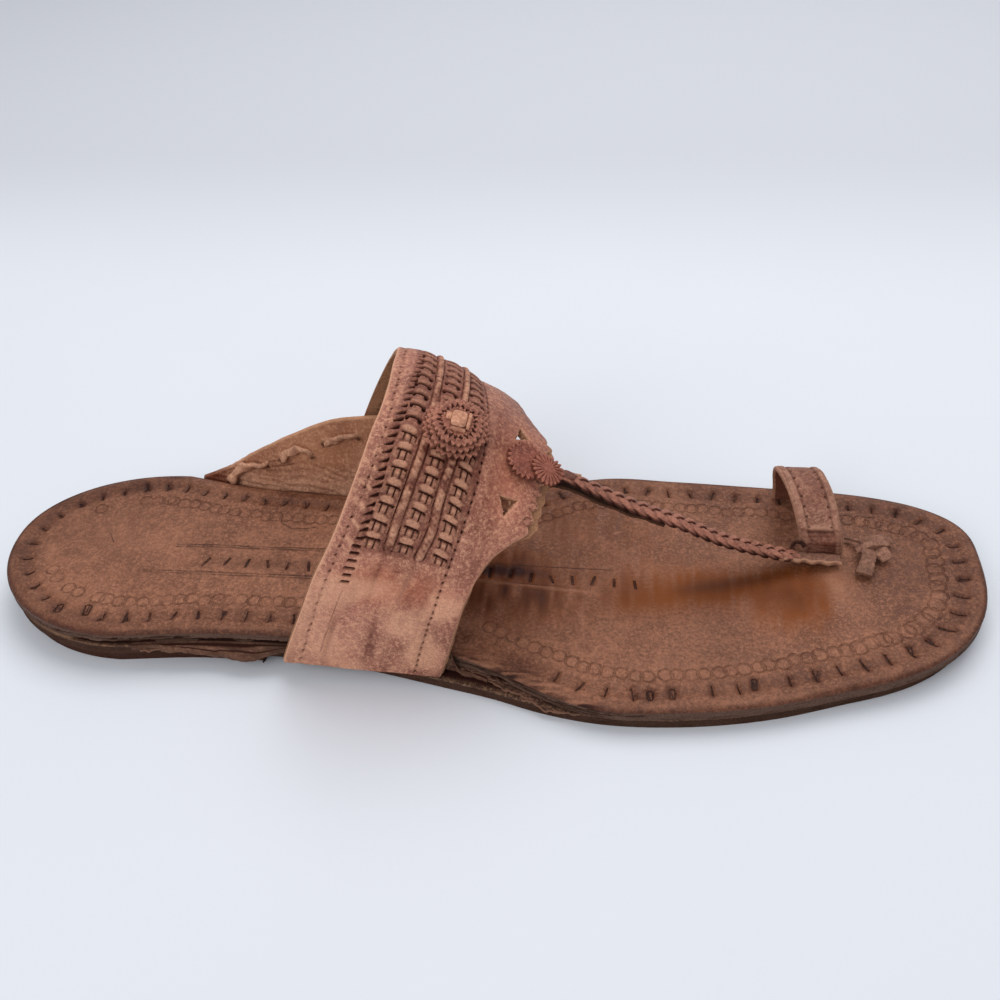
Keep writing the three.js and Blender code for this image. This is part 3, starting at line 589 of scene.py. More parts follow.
def sole_stitches(layer, rng):
    """Slits square to the edge: x, y, direction, half length, half width."""
    spots, turned = rim_path(layer, STITCH_INSET, STITCH_PITCH)
    marks = []
    for (x, y), angle in zip(spots, turned):
        if y < 0 and -40 < x < 24:
            continue
        if any(math.hypot(x - loop[0], y - loop[1]) < 4.2 for loop in OPEN_LOOPS):
            continue
        tilt = rng.normal(0, 0.2)
        half = STITCH_HALF * rng.uniform(0.8, 1.15)
        slide = rng.uniform(-0.5, 0.5)
        spot = (x + slide * math.cos(angle), y + slide * math.sin(angle))
        width = STITCH_WIDTH * rng.uniform(0.45, 0.95)
        half *= (0.68 if y > 0 else 1) * (0.62 if x < -118 else 1)
        marks.append((*spot, angle + tilt, half, width))
        if rng.uniform() < 0.4:
            turn = tilt + rng.choice((-1, 1)) * rng.uniform(0.35, 0.6)
            marks.append((spot[0] + 0.5, spot[1] + 0.3, angle + turn, half * 0.8, width * 0.6))
    return marks


# Loops left open beside the stitches: x, y and how far the two sides stand apart.
OPEN_LOOPS = [(-123, -27.5, 1.6), (-114, -27.6, 1.8), (51, -42.6, 1.5), (57, -41.6, 1.5), (79, -36.6, 1.2)]
# Rows of slits down the middle of the sole: first x, last x, y, spacing.
MIDDLE_ROWS = [(-85, -51, -5.0, 6.5), (2.5, 48, -0.6, 6.3)]
# Long scored lines: x, y of each end.
SCORED_LINES = [
    (-97, 1.0, -30, 1.9), (-97, 2.1, -30, 2.9), (-105, -10.9, -34, -10.1), (-104, -9.8, -34, -9.1),
    (-2, -4.4, 30, -4.0), (2, 3.6, 40, 4.6),
    (-121, 6, -118, 1.6), (-67, 17.4, -66.4, 13.6), (-66.4, 13.6, -62, 11), (-62, 11, -55, 12.2),
]


def middle_marks(rng):
    marks = []
    for x, y, apart in OPEN_LOOPS:
        for side in (-1, 1):
            marks.append((x + side * apart / 2, y, math.pi / 2 - side * 0.06, 1.5, 0.2))
            marks.append((x, y + side * 1.75, 0.1, apart * 0.32, 0.17))
    for start, end, y, spacing in MIDDLE_ROWS:
        for x in np.arange(start, end + 0.1, spacing):
            angle = math.pi / 2 + rng.normal(0, 0.25)
            marks.append((x, y + rng.uniform(-0.6, 0.6), angle, rng.uniform(1.5, 2.1), 0.34))
    return marks


def scored_marks():
    marks = []
    for x0, y0, x1, y1 in SCORED_LINES:
        half = math.hypot(x1 - x0, y1 - y0) / 2
        marks.append(((x0 + x1) / 2, (y0 + y1) / 2, math.atan2(y1 - y0, x1 - x0), half, 0.16))
    return marks


def mark_fields(x, y, marks):
    """Each point's place beside its nearest mark: across in half widths, past its end, distance."""
    across, past, distance = (np.full(x.shape, FAR) for _ in range(3))
    for mark_x, mark_y, angle, half, width in marks:
        dx, dy = x - mark_x, y - mark_y
        v = dx * math.cos(angle) + dy * math.sin(angle)
        u = dy * math.cos(angle) - dx * math.sin(angle)
        beyond = np.abs(v) - half
        d = np.hypot(u, np.maximum(beyond, 0))
        near = d < distance
        across[near], past[near], distance[near] = u[near] / width, beyond[near], d[near]
    return across, past, distance


def ring_fields(x, y, layer, rng):
    """Distance outside the nearest stamped ring, for the even and the odd rings of the chain."""
    spots, _ = rim_path(layer, RING_INSET, RING_PITCH)
    fields = [np.full(x.shape, FAR), np.full(x.shape, FAR)]
    for k, (ring_x, ring_y) in enumerate(spots):
        toe = smooth_step((ring_x - 95) / 25)
        if (ring_x < -112 and rng.uniform() < 0.6) or (ring_y < 0 and -40 < ring_x < 4):
            continue
        radius = RING_RADIUS * (1 + 0.2 * toe) * rng.uniform(0.93, 1.06)
        shift = rng.normal(0, 0.28, 2)
        d = np.hypot(x - ring_x - shift[0], y - ring_y - shift[1]) - radius
        fields[k % 2] = np.minimum(fields[k % 2], d)
    return fields


def tooled_relief(layer, rng):
    """Relief of the top sole: foot dishes, sewn trough, puckers, stamped rings and slits."""
    stitches = sole_stitches(layer, rng) + middle_marks(rng)
    scored = scored_marks()

    def relief(x, y, depth):
        lift = 0.35 * noise(x, y, 27, 3) + 0.16 * noise(x, y, 9, 4) + 0.05 * noise(x, y, 3, 5)
        lift -= 0.8 * bump(np.hypot((x + 108) / 30, (y - 3) / 22), 1)
        lift -= 0.7 * bump(np.hypot((x - 62) / 38, (y - 4) / 28), 1)
        lift += 0.3 * bump(depth - 3.2, 2.2) - 0.45 * bump(depth - STITCH_INSET, 1.9)
        lift -= 0.12 * bump(depth - RING_INSET, 2.4) + 0.12 * bump(depth - 2.7, 0.4) * (y < 0)
        across, past, distance = mark_fields(x, y, stitches)
        lift -= 0.55 * bump(np.maximum(distance, 0), 0.55)
        lift += 0.16 * bump(distance - 1.5, 0.8)
        long_across, long_past, long_distance = mark_fields(x, y, scored)
        ring_even, ring_odd = ring_fields(x, y, layer, rng)
        for ring in (ring_even, ring_odd):
            lift -= 0.2 * bump(ring, 0.4)
        halo = bump(np.maximum(distance - 0.2, 0), 0.9) * window(depth, 2, 11, 1)
        press = bump(depth - STITCH_INSET, 2.6)
        # Orange-brown burnish patches; the two along the braid, at x 72 and x 93, also stand for its painted
        # shadow.
        burnish_and_braid_shadow = (1.15 * bump(np.hypot((x - 6) / 22, (y + 9) / 9), 1)
                   + 0.8 * bump(np.hypot((x - 4) / 18, (y - 7) / 4), 1)
                   + 1.3 * bump(np.hypot((x - 93) / 12, (y + 4) / 10), 1) * smooth_step((104 - x) / 1.5 + 0.5)
                   + 0.8 * bump(np.hypot((x - 72) / 14, (y - 2) / 5), 1)
                   + 0.5 * bump(np.hypot((x - 55) / 26, (y + 2) / 9), 1)
                   + 0.4 * bump(np.hypot((x - 30) / 22, (y - 25) / 16), 1))
        burnish_and_braid_shadow *= 0.75 + 0.4 * noise(x, y, 14, 6) + 0.55 * noise(x, y * 0.15, 1.4, 7)
        greyed = bump(np.hypot((x - 106) / 4, (y - 4) / 9), 1) * (0.8 + 0.3 * noise(x, y, 4, 10))
        shade = (0.55 * bump(depth, 2.2) + 0.35 * press * (0.6 + 0.4 * noise(x, y, 5, 7)) + 0.3 * halo
                 + 0.55 * burnish_and_braid_shadow * (1 - smooth_step((x - 38) / 20)) + 0.15 * burnish_and_braid_shadow
                 + 0.12 * smooth_step((x - 108) / 20) + 0.22 * np.maximum(noise(x, y, 19, 8), 0))
        pale = 0.35 * bump(np.hypot((x + 112) / 24, (y - 4) / 16), 1) * (0.7 + 0.3 * noise(x, y, 8, 9))
        rim = smooth_step((9 - depth) / 5) * smooth_step((-88 - x) / 22)
        shade += 0.28 * rim * (0.8 + 0.4 * noise(x, y, 4, 15))
        shade += 0.9 * bump(np.hypot((x - 4) / 18, (y - 1.0) / 3.0), 1)
        # A darker patch beside the braid's end: burnish and the braid's painted shadow.
        shade += 0.35 * bump(np.hypot((x - 88) / 15, (y + 2) / 8), 1) * smooth_step((104 - x) / 1.5 + 0.5)
        # Painted shadow of the braid: a soft dark band beside its course, and orange warmth over a wider
        # band.
        braid_shadow_offset = y - np.interp(x, (46, 71, 90, 108), (-6, 0.5, 5.5, 8))
        shade += 0.3 * bump(braid_shadow_offset, 2.6) * window(x, 62, 107, 7)
        warmth = 1.1 * burnish_and_braid_shadow + 0.5 * bump(braid_shadow_offset + 2, 5) * window(x, 45, 105, 8)
        warmth += 0.7 * bump(np.hypot((x - 4) / 20, (y - 1) / 4), 1)
        shade += 0.4 * bump(np.hypot((x + 68) / 19, (y + 5) / 2.6), 1)
        pale = np.maximum(pale, 0.8 * greyed)
        chain = bump(depth - RING_INSET - 0.6, 2.4) * (0.55 + 0.6 * noise(x, y, 3, 16))
        pale = np.maximum(pale, 0.34 * chain * (y < 0) + 0.12 * chain)
        pale = np.maximum(pale, 0.3 * bump(depth - 1.7, 0.7) * (0.6 + 0.6 * noise(x, y, 4, 17)))
        ridge = bump(y + 4.2 + 0.04 * x, 0.5) * window(x, -2, 34, 4)
        lift += 0.15 * ridge
        pale = np.maximum(pale, 0.5 * ridge)
        frayed = window(x, 2, 34, 8) * smooth_step((6.5 - depth) / 3) * (y < 0)
        lift += 0.35 * frayed * noise(x * 0.12, y, 1.2, 12)
        pale = np.maximum(pale, 0.55 * frayed * smooth_step(noise(x * 0.12, y, 1.0, 13) * 1.8))
        shade += 0.5 * frayed * smooth_step(noise(x * 0.12, y, 1.3, 14) * 1.8)
        values = dict(
            tone=np.clip(shade, 0, 1), warm=np.clip(warmth, 0, 0.95), wear=np.clip(pale, 0, 1),
            slit_across=across, slit_past=past, slit_far=distance,
            line_across=long_across, line_past=long_past, line_far=long_distance,
            ring_even=ring_even, ring_odd=ring_odd,
        )
        return lift, values

    return relief


TOOLING = ("slit_across", "slit_past", "slit_far", "line_across", "line_past", "line_far",
           "ring_even", "ring_odd")


def tooling_colour(tree, colour):
    """Crisp slits, scored lines and stamped rings, from each point's distance to them."""
    def stroke(name, reach):
        beside = tree.ramp(tree.math("ABSOLUTE", tree.attribute(name + "_across")), 1.35, 0.7)
        inside = tree.ramp(tree.attribute(name + "_past"), 0.25, -0.15)
        near = tree.ramp(tree.attribute(name + "_far"), reach, reach * 0.8)
        return tree.math("MULTIPLY", tree.math("MULTIPLY", beside, inside), near)

    worn = tree.noise(7, 3, 0.6)
    slit = stroke("slit", 1.6)
    line = tree.math("MULTIPLY", stroke("line", 0.8), tree.ramp(worn, 0.35, 0.6, 0.25, 0.8))
    rings = []
    for name in ("ring_even", "ring_odd"):
        edge = tree.math("ABSOLUTE", tree.attribute(name))
        rings.append(tree.ramp(edge, RING_LINE * 1.7, RING_LINE * 0.5))
    ring = tree.math("MAXIMUM", rings[0], rings[1])
    ring = tree.math("MULTIPLY", ring, tree.ramp(worn, 0.3, 0.62, 0.3, 0.85))
    colour = tree.mix(tree.math("MULTIPLY", ring, 0.42), colour, rgb(70, 36, 28))
    colour = tree.mix(tree.math("MULTIPLY", line, 0.8), colour, rgb(60, 32, 24))
    colour = tree.mix(
        tree.math("MULTIPLY", tree.math("MULTIPLY", slit, tree.ramp(worn, 0.3, 0.55, 0.55, 1)), 0.92),
        colour, CUT_AND_SHADE_COLOUR)
    deep = tree.math("MAXIMUM", slit, tree.math("MAXIMUM", ring, line))
    return colour, tree.math("MULTIPLY", deep, -1.0)


def build_sole():
    rng = np.random.default_rng(11)
    fine = np.r_[0, 0.12, 0.3, 0.55, np.arange(0.9, 16.6, 0.44)]
    layer = Layer(TOP_OUTLINE, HEEL_END, TOE_END, 520)
    top = leather("tooled_top_leather", base=rgb(135, 95, 76), dark=rgb(100, 65, 50),
                  light=rgb(170, 125, 103),
                  warm=rgb(130, 70, 8), raw=rgb(104, 84, 76), roughness=(0.36, 0.58), details=tooling_colour)
    skin = Skin("tooled_top_sole", TOOLING, FAR)
    # The top sole's underside is painted dark as shade, being seen only down the gap above the outsole.
    add_plate(skin, layer, fine, 36, top_sole_top, top_sole_bottom, 0.9, 0.35, 21,
              relief=tooled_relief(layer, rng), under_painted_shade=1.0, rim_rows=15,
              splits=[(0.26, -8, 40), (0.58, -6, 47), (0.82, -14, 34), (0.62, -128, -84), (0.86, -112, -48),
                      (0.95, -104, -46)])
    skin.build(top, ["top_sole"])

    edge = leather("layered_edge_leather", base=rgb(96, 70, 58), dark=rgb(60, 42, 36),
                   light=rgb(150, 122, 100),
                   warm=rgb(100, 50, 36), raw=rgb(78, 58, 50), roughness=(0.6, 0.85))
    coarse = np.r_[0, 0.3, 0.8, 2, 5]
    skin = Skin("layered_outsole")
    lower = Layer(OUTSOLE_OUTLINE, OUTSOLE_HEEL_END, OUTSOLE_TOE_END, 460)
    # The outsole's top face is painted dark as shade, being seen only down the gap under the top sole.
    add_plate(skin, lower, coarse, 4, outsole_top, outsole_bottom, 0.5, 0.5, 31, rim_rows=8, top_painted_shade=1.0)
    skin.build(edge, ["outsole"])

    skin = Skin("filler_strip")
    outer, inner = short_layer(TOP_OUTLINE, HEEL_END + 0.8, -30,
                               lambda x: 0.4 + 6.6 * smooth_step((x + 120) / 16), 200)
    add_slab(skin, outer, inner, lambda x: outsole_top(x) + 1.55, lambda x: outsole_top(x) + 0.12, 0.4, 41)
    pale = leather("pale_filler_leather", base=rgb(150, 120, 98), dark=rgb(96, 72, 58),
                   light=rgb(188, 160, 136), warm=rgb(120, 70, 44), raw=rgb(146, 118, 98),
                   roughness=(0.7, 0.9))
    skin.build(pale, ["filler_layer"])

    skin = Skin("stacked_heel_lift")
    outer, inner = short_layer(OUTSOLE_OUTLINE, HEEL_END + 1, HEEL_BREAST, lambda x: 0.3 + 0 * x, 220)
    add_slab(skin, outer, inner, lambda x: HEEL_LIFT_THICK + 0.12 + 0 * x, lambda x: 0 * x, 0.35, 51,
             draw_in=0.9, rim_rows=10)
    heel = leather("heel_block_leather", base=rgb(98, 66, 54), dark=rgb(60, 41, 36), light=rgb(128, 96, 80),
                   warm=rgb(96, 46, 34), raw=rgb(74, 48, 40), roughness=(0.55, 0.8))
    skin.build(heel, ["heel_lift"])


# ---------------------------------------------------------------- instep band: surface

ARCH_STEPS = np.hypot(*np.diff(np.array(BAND_ARCH, float), axis=0).T)
ARCH = np.column_stack([np.r_[0, np.cumsum(ARCH_STEPS)], BAND_ARCH])
ARCH_LENGTH = ARCH[-1, 0]
LEATHER_THICK = 1.25
WEAVE_START, WEAVE_END = 44.8, 124.0


def band_surface(around, ahead):
    """Points on the band's outer face: distance round the arch, and forward of the rear edge."""
    side = smooth_step((around - CREST_BLEND_START) / CREST_BLEND_LENGTH)
    crest = along(BAND_CREST, 1, ahead) * (1 - side) + along(BAND_CREST, 2, ahead) * side
    scale = (crest - BAND_FOOT_Z) / (BAND_CREST_Z - BAND_FOOT_Z)
    z = BAND_FOOT_Z + (along(ARCH, 2, around) - BAND_FOOT_Z) * scale
    x = BAND_REAR_X + ahead + BAND_LEAN * z + BAND_LEAN_CURVE * z * z
    return np.stack(np.broadcast_arrays(x, along(ARCH, 1, around), z), -1)


def band_frame(around, ahead):
    """Point, forward direction, direction round the arch and outward normal."""
    step = 0.2
    forward = band_surface(around, ahead + step) - band_surface(around, ahead - step)
    across = band_surface(around + step, ahead) - band_surface(around - step, ahead)
    normal = np.cross(forward, across)
    normal /= np.linalg.norm(normal, axis=-1, keepdims=True)
    forward = forward / np.linalg.norm(forward, axis=-1, keepdims=True)
    return band_surface(around, ahead), forward, np.cross(normal, forward), normal


def band_points(around, ahead, height):
    spot, _, _, normal = band_frame(around, ahead)
    return spot + normal * np.asarray(height)[..., None], normal


def polygon_distance(a, b, corners):
    """Distance outside a convex polygon, negative inside, and the nearest point on its outline."""
    corners = np.array(corners, float)
    best = np.full(a.shape, np.inf)
    near_a, near_b = a.copy(), b.copy()
    middle = corners.mean(0)
    inside = np.ones(a.shape, bool)
    for start, end in zip(corners, np.roll(corners, -1, 0)):
        run = end - start
        t = np.clip(((a - start[0]) * run[0] + (b - start[1]) * run[1]) / (run @ run), 0, 1)
        on_a, on_b = start[0] + t * run[0], start[1] + t * run[1]
        d = np.hypot(a - on_a, b - on_b)
        closer = d < best
        best = np.where(closer, d, best)
        near_a, near_b = np.where(closer, on_a, near_a), np.where(closer, on_b, near_b)
        side = run[0] * (b - start[1]) - run[1] * (a - start[0])
        home = run[0] * (middle[1] - start[1]) - run[1] * (middle[0] - start[0])
        inside &= side * home > 0
    return np.where(inside, -best, best), near_a, near_b


def snap_to_cuts(around, ahead, cuts, reach):
    """Moves grid points that lie near a cut onto its outline. Returns the distance outside the cuts."""
    distance = np.full(around.shape, FAR)
    for corners in cuts:
        d, near_around, near_ahead = polygon_distance(around, ahead, corners)
        close = np.abs(d) < reach
        around, ahead = np.where(close, near_around, around), np.where(close, near_ahead, ahead)
        distance = np.minimum(distance, np.where(close, 0, d))
    return around, ahead, distance


def rim_wall(points, normals, faces, profile):
    """Quads round every open edge of a sheet, following a profile of (outward, depth) steps."""
    pairs = np.stack([faces, np.roll(faces, -1, axis=1)], -1).reshape(-1, 2)
    owner = np.repeat(np.arange(len(faces)), faces.shape[1])
    solid = pairs[:, 0] != pairs[:, 1]
    pairs, owner = pairs[solid], owner[solid]
    _, index, count = np.unique(np.sort(pairs, axis=1), axis=0, return_index=True, return_counts=True)
    edge = index[count == 1]
    a, b = pairs[edge, 0], pairs[edge, 1]
    away = (points[a] + points[b]) / 2 - points[faces[owner[edge]]].mean(1)
    run = points[b] - points[a]
    out = away - run * ((away * run).sum(1) / np.maximum((run * run).sum(1), 1e-12))[:, None]
    total = np.zeros_like(points)
    np.add.at(total, a, out / np.maximum(np.linalg.norm(out, axis=1, keepdims=True), 1e-9))
    np.add.at(total, b, out / np.maximum(np.linalg.norm(out, axis=1, keepdims=True), 1e-9))
    used = np.unique(np.r_[a, b])
    number = np.full(len(points), -1)
    number[used] = np.arange(len(used))
    side = total[used] - normals[used] * (total[used] * normals[used]).sum(1)[:, None]
    side /= np.maximum(np.linalg.norm(side, axis=1, keepdims=True), 1e-9)
    rows = [points[used] + side * step_out - normals[used] * depth for step_out, depth in profile]
    quads = []
    for k in range(len(profile) - 1):
        low, high = k * len(used), (k + 1) * len(used)
        quads.append(np.stack([number[a] + low, number[a] + high, number[b] + high, number[b] + low], -1))
    return np.concatenate(rows), np.concatenate(quads)


# ---------------------------------------------------------------- instep band: weave and stitches

# Distance round the arch, then forward distance of weave 1, cord 1, weave 2, cord 2, weave 3 and the
# rows of wedge cuts, rear stitches and front stitches.
BAND_LINES = [
    (2, 13.2, 18.8, 23.4, 27.7, 33.6, 11.0, 5.2, 38.4),
    (30, 13.2, 18.8, 23.3, 27.7, 33.6, 10.9, 5.6, 37.4),
    (46, 13.4, 18.7, 22.9, 27.8, 33.3, 10.1, 5.8, 36.6),
    (53, 13.2, 18.1, 22.6, 28.2, 32.4, 9.2, 5.9, 36.3),
    (60, 13.0, 17.6, 22.3, 26.9, 31.5, 8.5, 5.9, 35.9),
    (73, 12.0, 17.0, 21.3, 25.8, 30.0, 6.9, 5.2, 34.8),
    (88, 11.0, 15.4, 19.4, 24.1, 28.2, 7.0, 3.8, 32.6),
    (102, 10.8, 14.7, 19.1, 23.7, 27.0, 7.4, 2.9, 30.6),
    (124, 10.8, 14.6, 19.1, 23.6, 27.0, 7.6, 2.9, 30.4),
    (150, 11.5, 16, 20, 24.5, 29, 8.5, 3.6, 33.4),
    (183.7, 13.0, 18, 23, 27, 33, 10.5, 4.6, 37.6),
]
WEAVE_COLUMNS, CORD_COLUMNS = (1, 3, 5), (2, 4)
WEDGE_COLUMN, REAR_STITCH_COLUMN, FRONT_STITCH_COLUMN = 6, 7, 8
FIRST_BARS = (49.2, 49.1, 48.0)
BAR_PITCH, UPPER_PITCH = 4.7, 3.9
WEDGE_PITCH, BAND_STITCH_PITCH = 2.27, 2.7
SCALLOP_PITCH, SCALLOP_DEPTH = 4.3, 1.25
PUNCHED_RINGS = [(65.8, 53.2), (70.4, 53.4), (74.9, 53.5), (79.4, 53.3)]
PUNCHED_RADIUS = 1.25


class Relief:
    """Height, darkness and rubbed lightness gathered over a sheet."""

    def __init__(self, shape):
        self.height, self.cut, self.wear, self.tone, self.warm = (np.zeros(shape) for _ in range(5))

    def slit(self, distance, half, depth, dark=1.0, soft=0.22):
        inside = smooth_step((half + soft - distance) / (2 * soft))
        self.height -= depth * inside
        self.cut = np.maximum(self.cut, dark * inside)


def weave_column(relief, around, ahead, column, first, seed):
    """Thongs woven through slits: low puffed bars over squares, and curved slits higher up."""
    rng = np.random.default_rng(seed)
    centre = along(BAND_LINES, column, around)
    side = ahead - centre
    for k in range(17):
        upper = k >= 7
        spot = first + BAR_PITCH * k if not upper else first + BAR_PITCH * 7 + UPPER_PITCH * (k - 7)
        if spot > WEAVE_END - 1:
            continue
        half, thick = (2.35, 1.12) if not upper else (2.15, 1.0)
        half, thick = half * rng.uniform(0.94, 1.06), thick * rng.uniform(0.92, 1.08)
        shift, slant = rng.normal(0, 0.12), 0.14 + rng.normal(0, 0.04)
        u = (side - shift) / half
        v = around - spot + slant * (side - shift)
        row = np.abs(v) < 5
        lens = 1 - np.abs(u) ** 2.2 - (v / thick) ** 2
        puff = np.sqrt(np.clip(lens, 0, 1))
        relief.height += row * (0.52 if not upper else 0.22) * puff
        # The bars' crowns are lightened, by rub and a painted highlight.
        rub_and_highlight = 0.5 if not upper else 0.16
        relief.wear = np.maximum(relief.wear, row * rub_and_highlight * smooth_step(lens * 2.0 - 0.1 * v))
        if upper:
            arc = v + thick + 0.5 - 0.55 * (1 - u * u)
            stroke = np.hypot(np.maximum(np.abs(side - shift) - half * 0.9, 0), arc)
            relief.slit(np.where(row, stroke, FAR), 0.3, 0.65, 1.0, 0.18)
            for end, size in ((-0.92, 0.45), (0.92, 0.62)):
                blob = np.hypot(side - shift - half * end, (v + thick + 0.75) * 0.8)
                relief.slit(np.where(row, blob, FAR), size, 0.7, 1.0, 0.2)
            continue
        below = v + thick + 0.3 - 0.25 * (1 - u * u)
        slit = np.hypot(np.maximum(np.abs(side - shift) - half * 0.8, 0), below)
        relief.slit(np.where(row, slit, FAR), 0.22, 0.55, 1.0, 0.17)
        blob = np.hypot(side - shift - half * 0.92, v + thick + 0.35)
        relief.slit(np.where(row, blob, FAR), 0.34, 0.6, 1.0, 0.2)
        drop = v + BAR_PITCH / 2 + 0.12
        reach = BAR_PITCH / 2 - thick - 0.1
        inside = window(drop, -reach * 0.9, reach * 0.9, 0.2) * window(side, -2.7, 2.9, 0.3)
        lane = (side - shift) / 1.9
        across = np.abs(lane - np.round(lane)) * 1.9
        relief.height += row * inside * (0.2 + 0.24 * np.sqrt(np.clip(1 - (across / 0.95) ** 2, 0, 1)))
        middle = 0.38 * np.exp(-((side - shift) / 0.9) ** 4) * smooth_step(1.3 - 2 * np.abs(drop))
        relief.wear = np.maximum(relief.wear, row * inside * (0.16 + middle))
        seam = np.hypot(np.abs(np.abs(side - shift) - 0.95), np.maximum(np.abs(drop) - reach, 0))
        relief.slit(np.where(row, seam, FAR), 0.17, 0.55, 1.0, 0.17)
        outer = np.hypot(np.abs(side - shift - 2.55), np.maximum(np.abs(drop) - reach * 0.7, 0))
        relief.slit(np.where(row, outer, FAR), 0.1, 0.4, 0.7, 0.17)


def cord_ridge(relief, around, ahead, column, start, seed):
    """A thin folded cord sewn between two weaves, wrinkled and with a round lower end."""
    centre = along(BAND_LINES, column, around) + 0.12 * noise(around, 0 * around, 7, seed)
    side = ahead - centre
    upper = smooth_step((around - 84) / 6)
    half = 1.2 - 0.25 * upper
    beyond = np.maximum(start - around, 0)
    span = np.hypot(side, beyond * 0.8)
    ridge = np.sqrt(np.clip(1 - (span / half) ** 2, 0, 1))
    on = window(around, start - 1.3, WEAVE_END, 0.2)
    twist = np.sin(2 * np.pi * (around / 1.5 + side / 2.0))
    wrinkle = (1 + 0.09 * twist + 0.45 * noise(around, side * 0.4, 1.1, seed + 1)
               + 0.15 * noise(around, side, 0.5, seed + 2))
    relief.height += on * ridge * (0.8 - 0.3 * upper) * wrinkle
    relief.wear = np.maximum(relief.wear, on * 0.6 * ridge * np.clip(wrinkle - 0.7, 0, 1) * 2)
    relief.tone += on * 0.12 * (span < half) * (1 - 0.3 * twist + 0.4 * noise(around, side, 1.2, seed + 3))
    groove = np.abs(span - half - 0.2)
    relief.slit(np.where(on > 0.5, groove, FAR), 0.1, 0.45, 0.85, 0.22)
    split = np.abs(side - 0.25)
    relief.slit(np.where((on > 0.5) & (span < half * 0.7), split, FAR), 0.02, 0.12, 0.35, 0.18)


def sewn_line(relief, around, ahead, column, start, end, seed):
    """A row of needle holes joined by a pressed thread line."""
    rng = np.random.default_rng(seed)
    side = ahead - along(BAND_LINES, column, around)
    on = window(around, start, end, 0.5)
    relief.height -= on * 0.16 * bump(side, 0.55)
    relief.cut = np.maximum(relief.cut, on * 0.28 * bump(side, 0.28))
    bold = 0.38 if column == FRONT_STITCH_COLUMN else 0.3
    for spot in np.arange(start, end, BAND_STITCH_PITCH):
        here = spot + rng.normal(0, 0.12)
        hole = np.hypot((side + rng.normal(0, 0.06)) * 1.15, (around - here) * 0.85)
        relief.slit(hole, bold, 0.5, 1.0, 0.18)


def wedge_cuts(relief, around, ahead, seed):
    """Short cuts beside the first weave: slanted wedges up the weave, plain dashes below it."""
    rng = np.random.default_rng(seed)
    side = ahead - along(BAND_LINES, WEDGE_COLUMN, around) - 0.7 * smooth_step((around - 46) / 3)
    for spot in np.arange(34.0, 122.0, WEDGE_PITCH):
        v = around - spot - rng.normal(0, 0.08)
        dash = 1 - smooth_step((spot - 46) / 3)
        slope = 0.42 * (1 - dash)
        lean = v - slope * side
        high = smooth_step((spot - 80) / 8)
        half = 0.92 + 0.2 * dash - 0.25 * high + rng.normal(0, 0.09)
        taper = np.clip((half + side) / (2 * half), 0.12, 1)
        thick = 0.2 * dash + (0.42 - 0.12 * high) * (1 - dash) * taper
        beyond = np.maximum(np.abs(side) - half, 0)
        relief.slit(np.hypot(beyond, np.maximum(np.abs(lean) - thick, 0)), 0.17, 0.7, 1.0, 0.15)


def pressed_folds(relief, around, ahead):
    """Light slanted folds between the rear stitches and the wedge cuts."""
    start = along(BAND_LINES, REAR_STITCH_COLUMN, around) + 0.6
    end = along(BAND_LINES, WEDGE_COLUMN, around) - 0.7
    slant = around + 0.75 * (ahead - start)
    phase = slant / (2 * WEDGE_PITCH)
    line = (phase - np.floor(phase) - 0.5) * 2 * WEDGE_PITCH
    on = window(ahead, start, end, 0.4) * window(around, 47, 78, 2)
    relief.height += on * 0.28 * bump(line, 0.5)
    relief.wear = np.maximum(relief.wear, on * 0.9 * bump(line, 0.42))
    relief.tone += on * 0.12


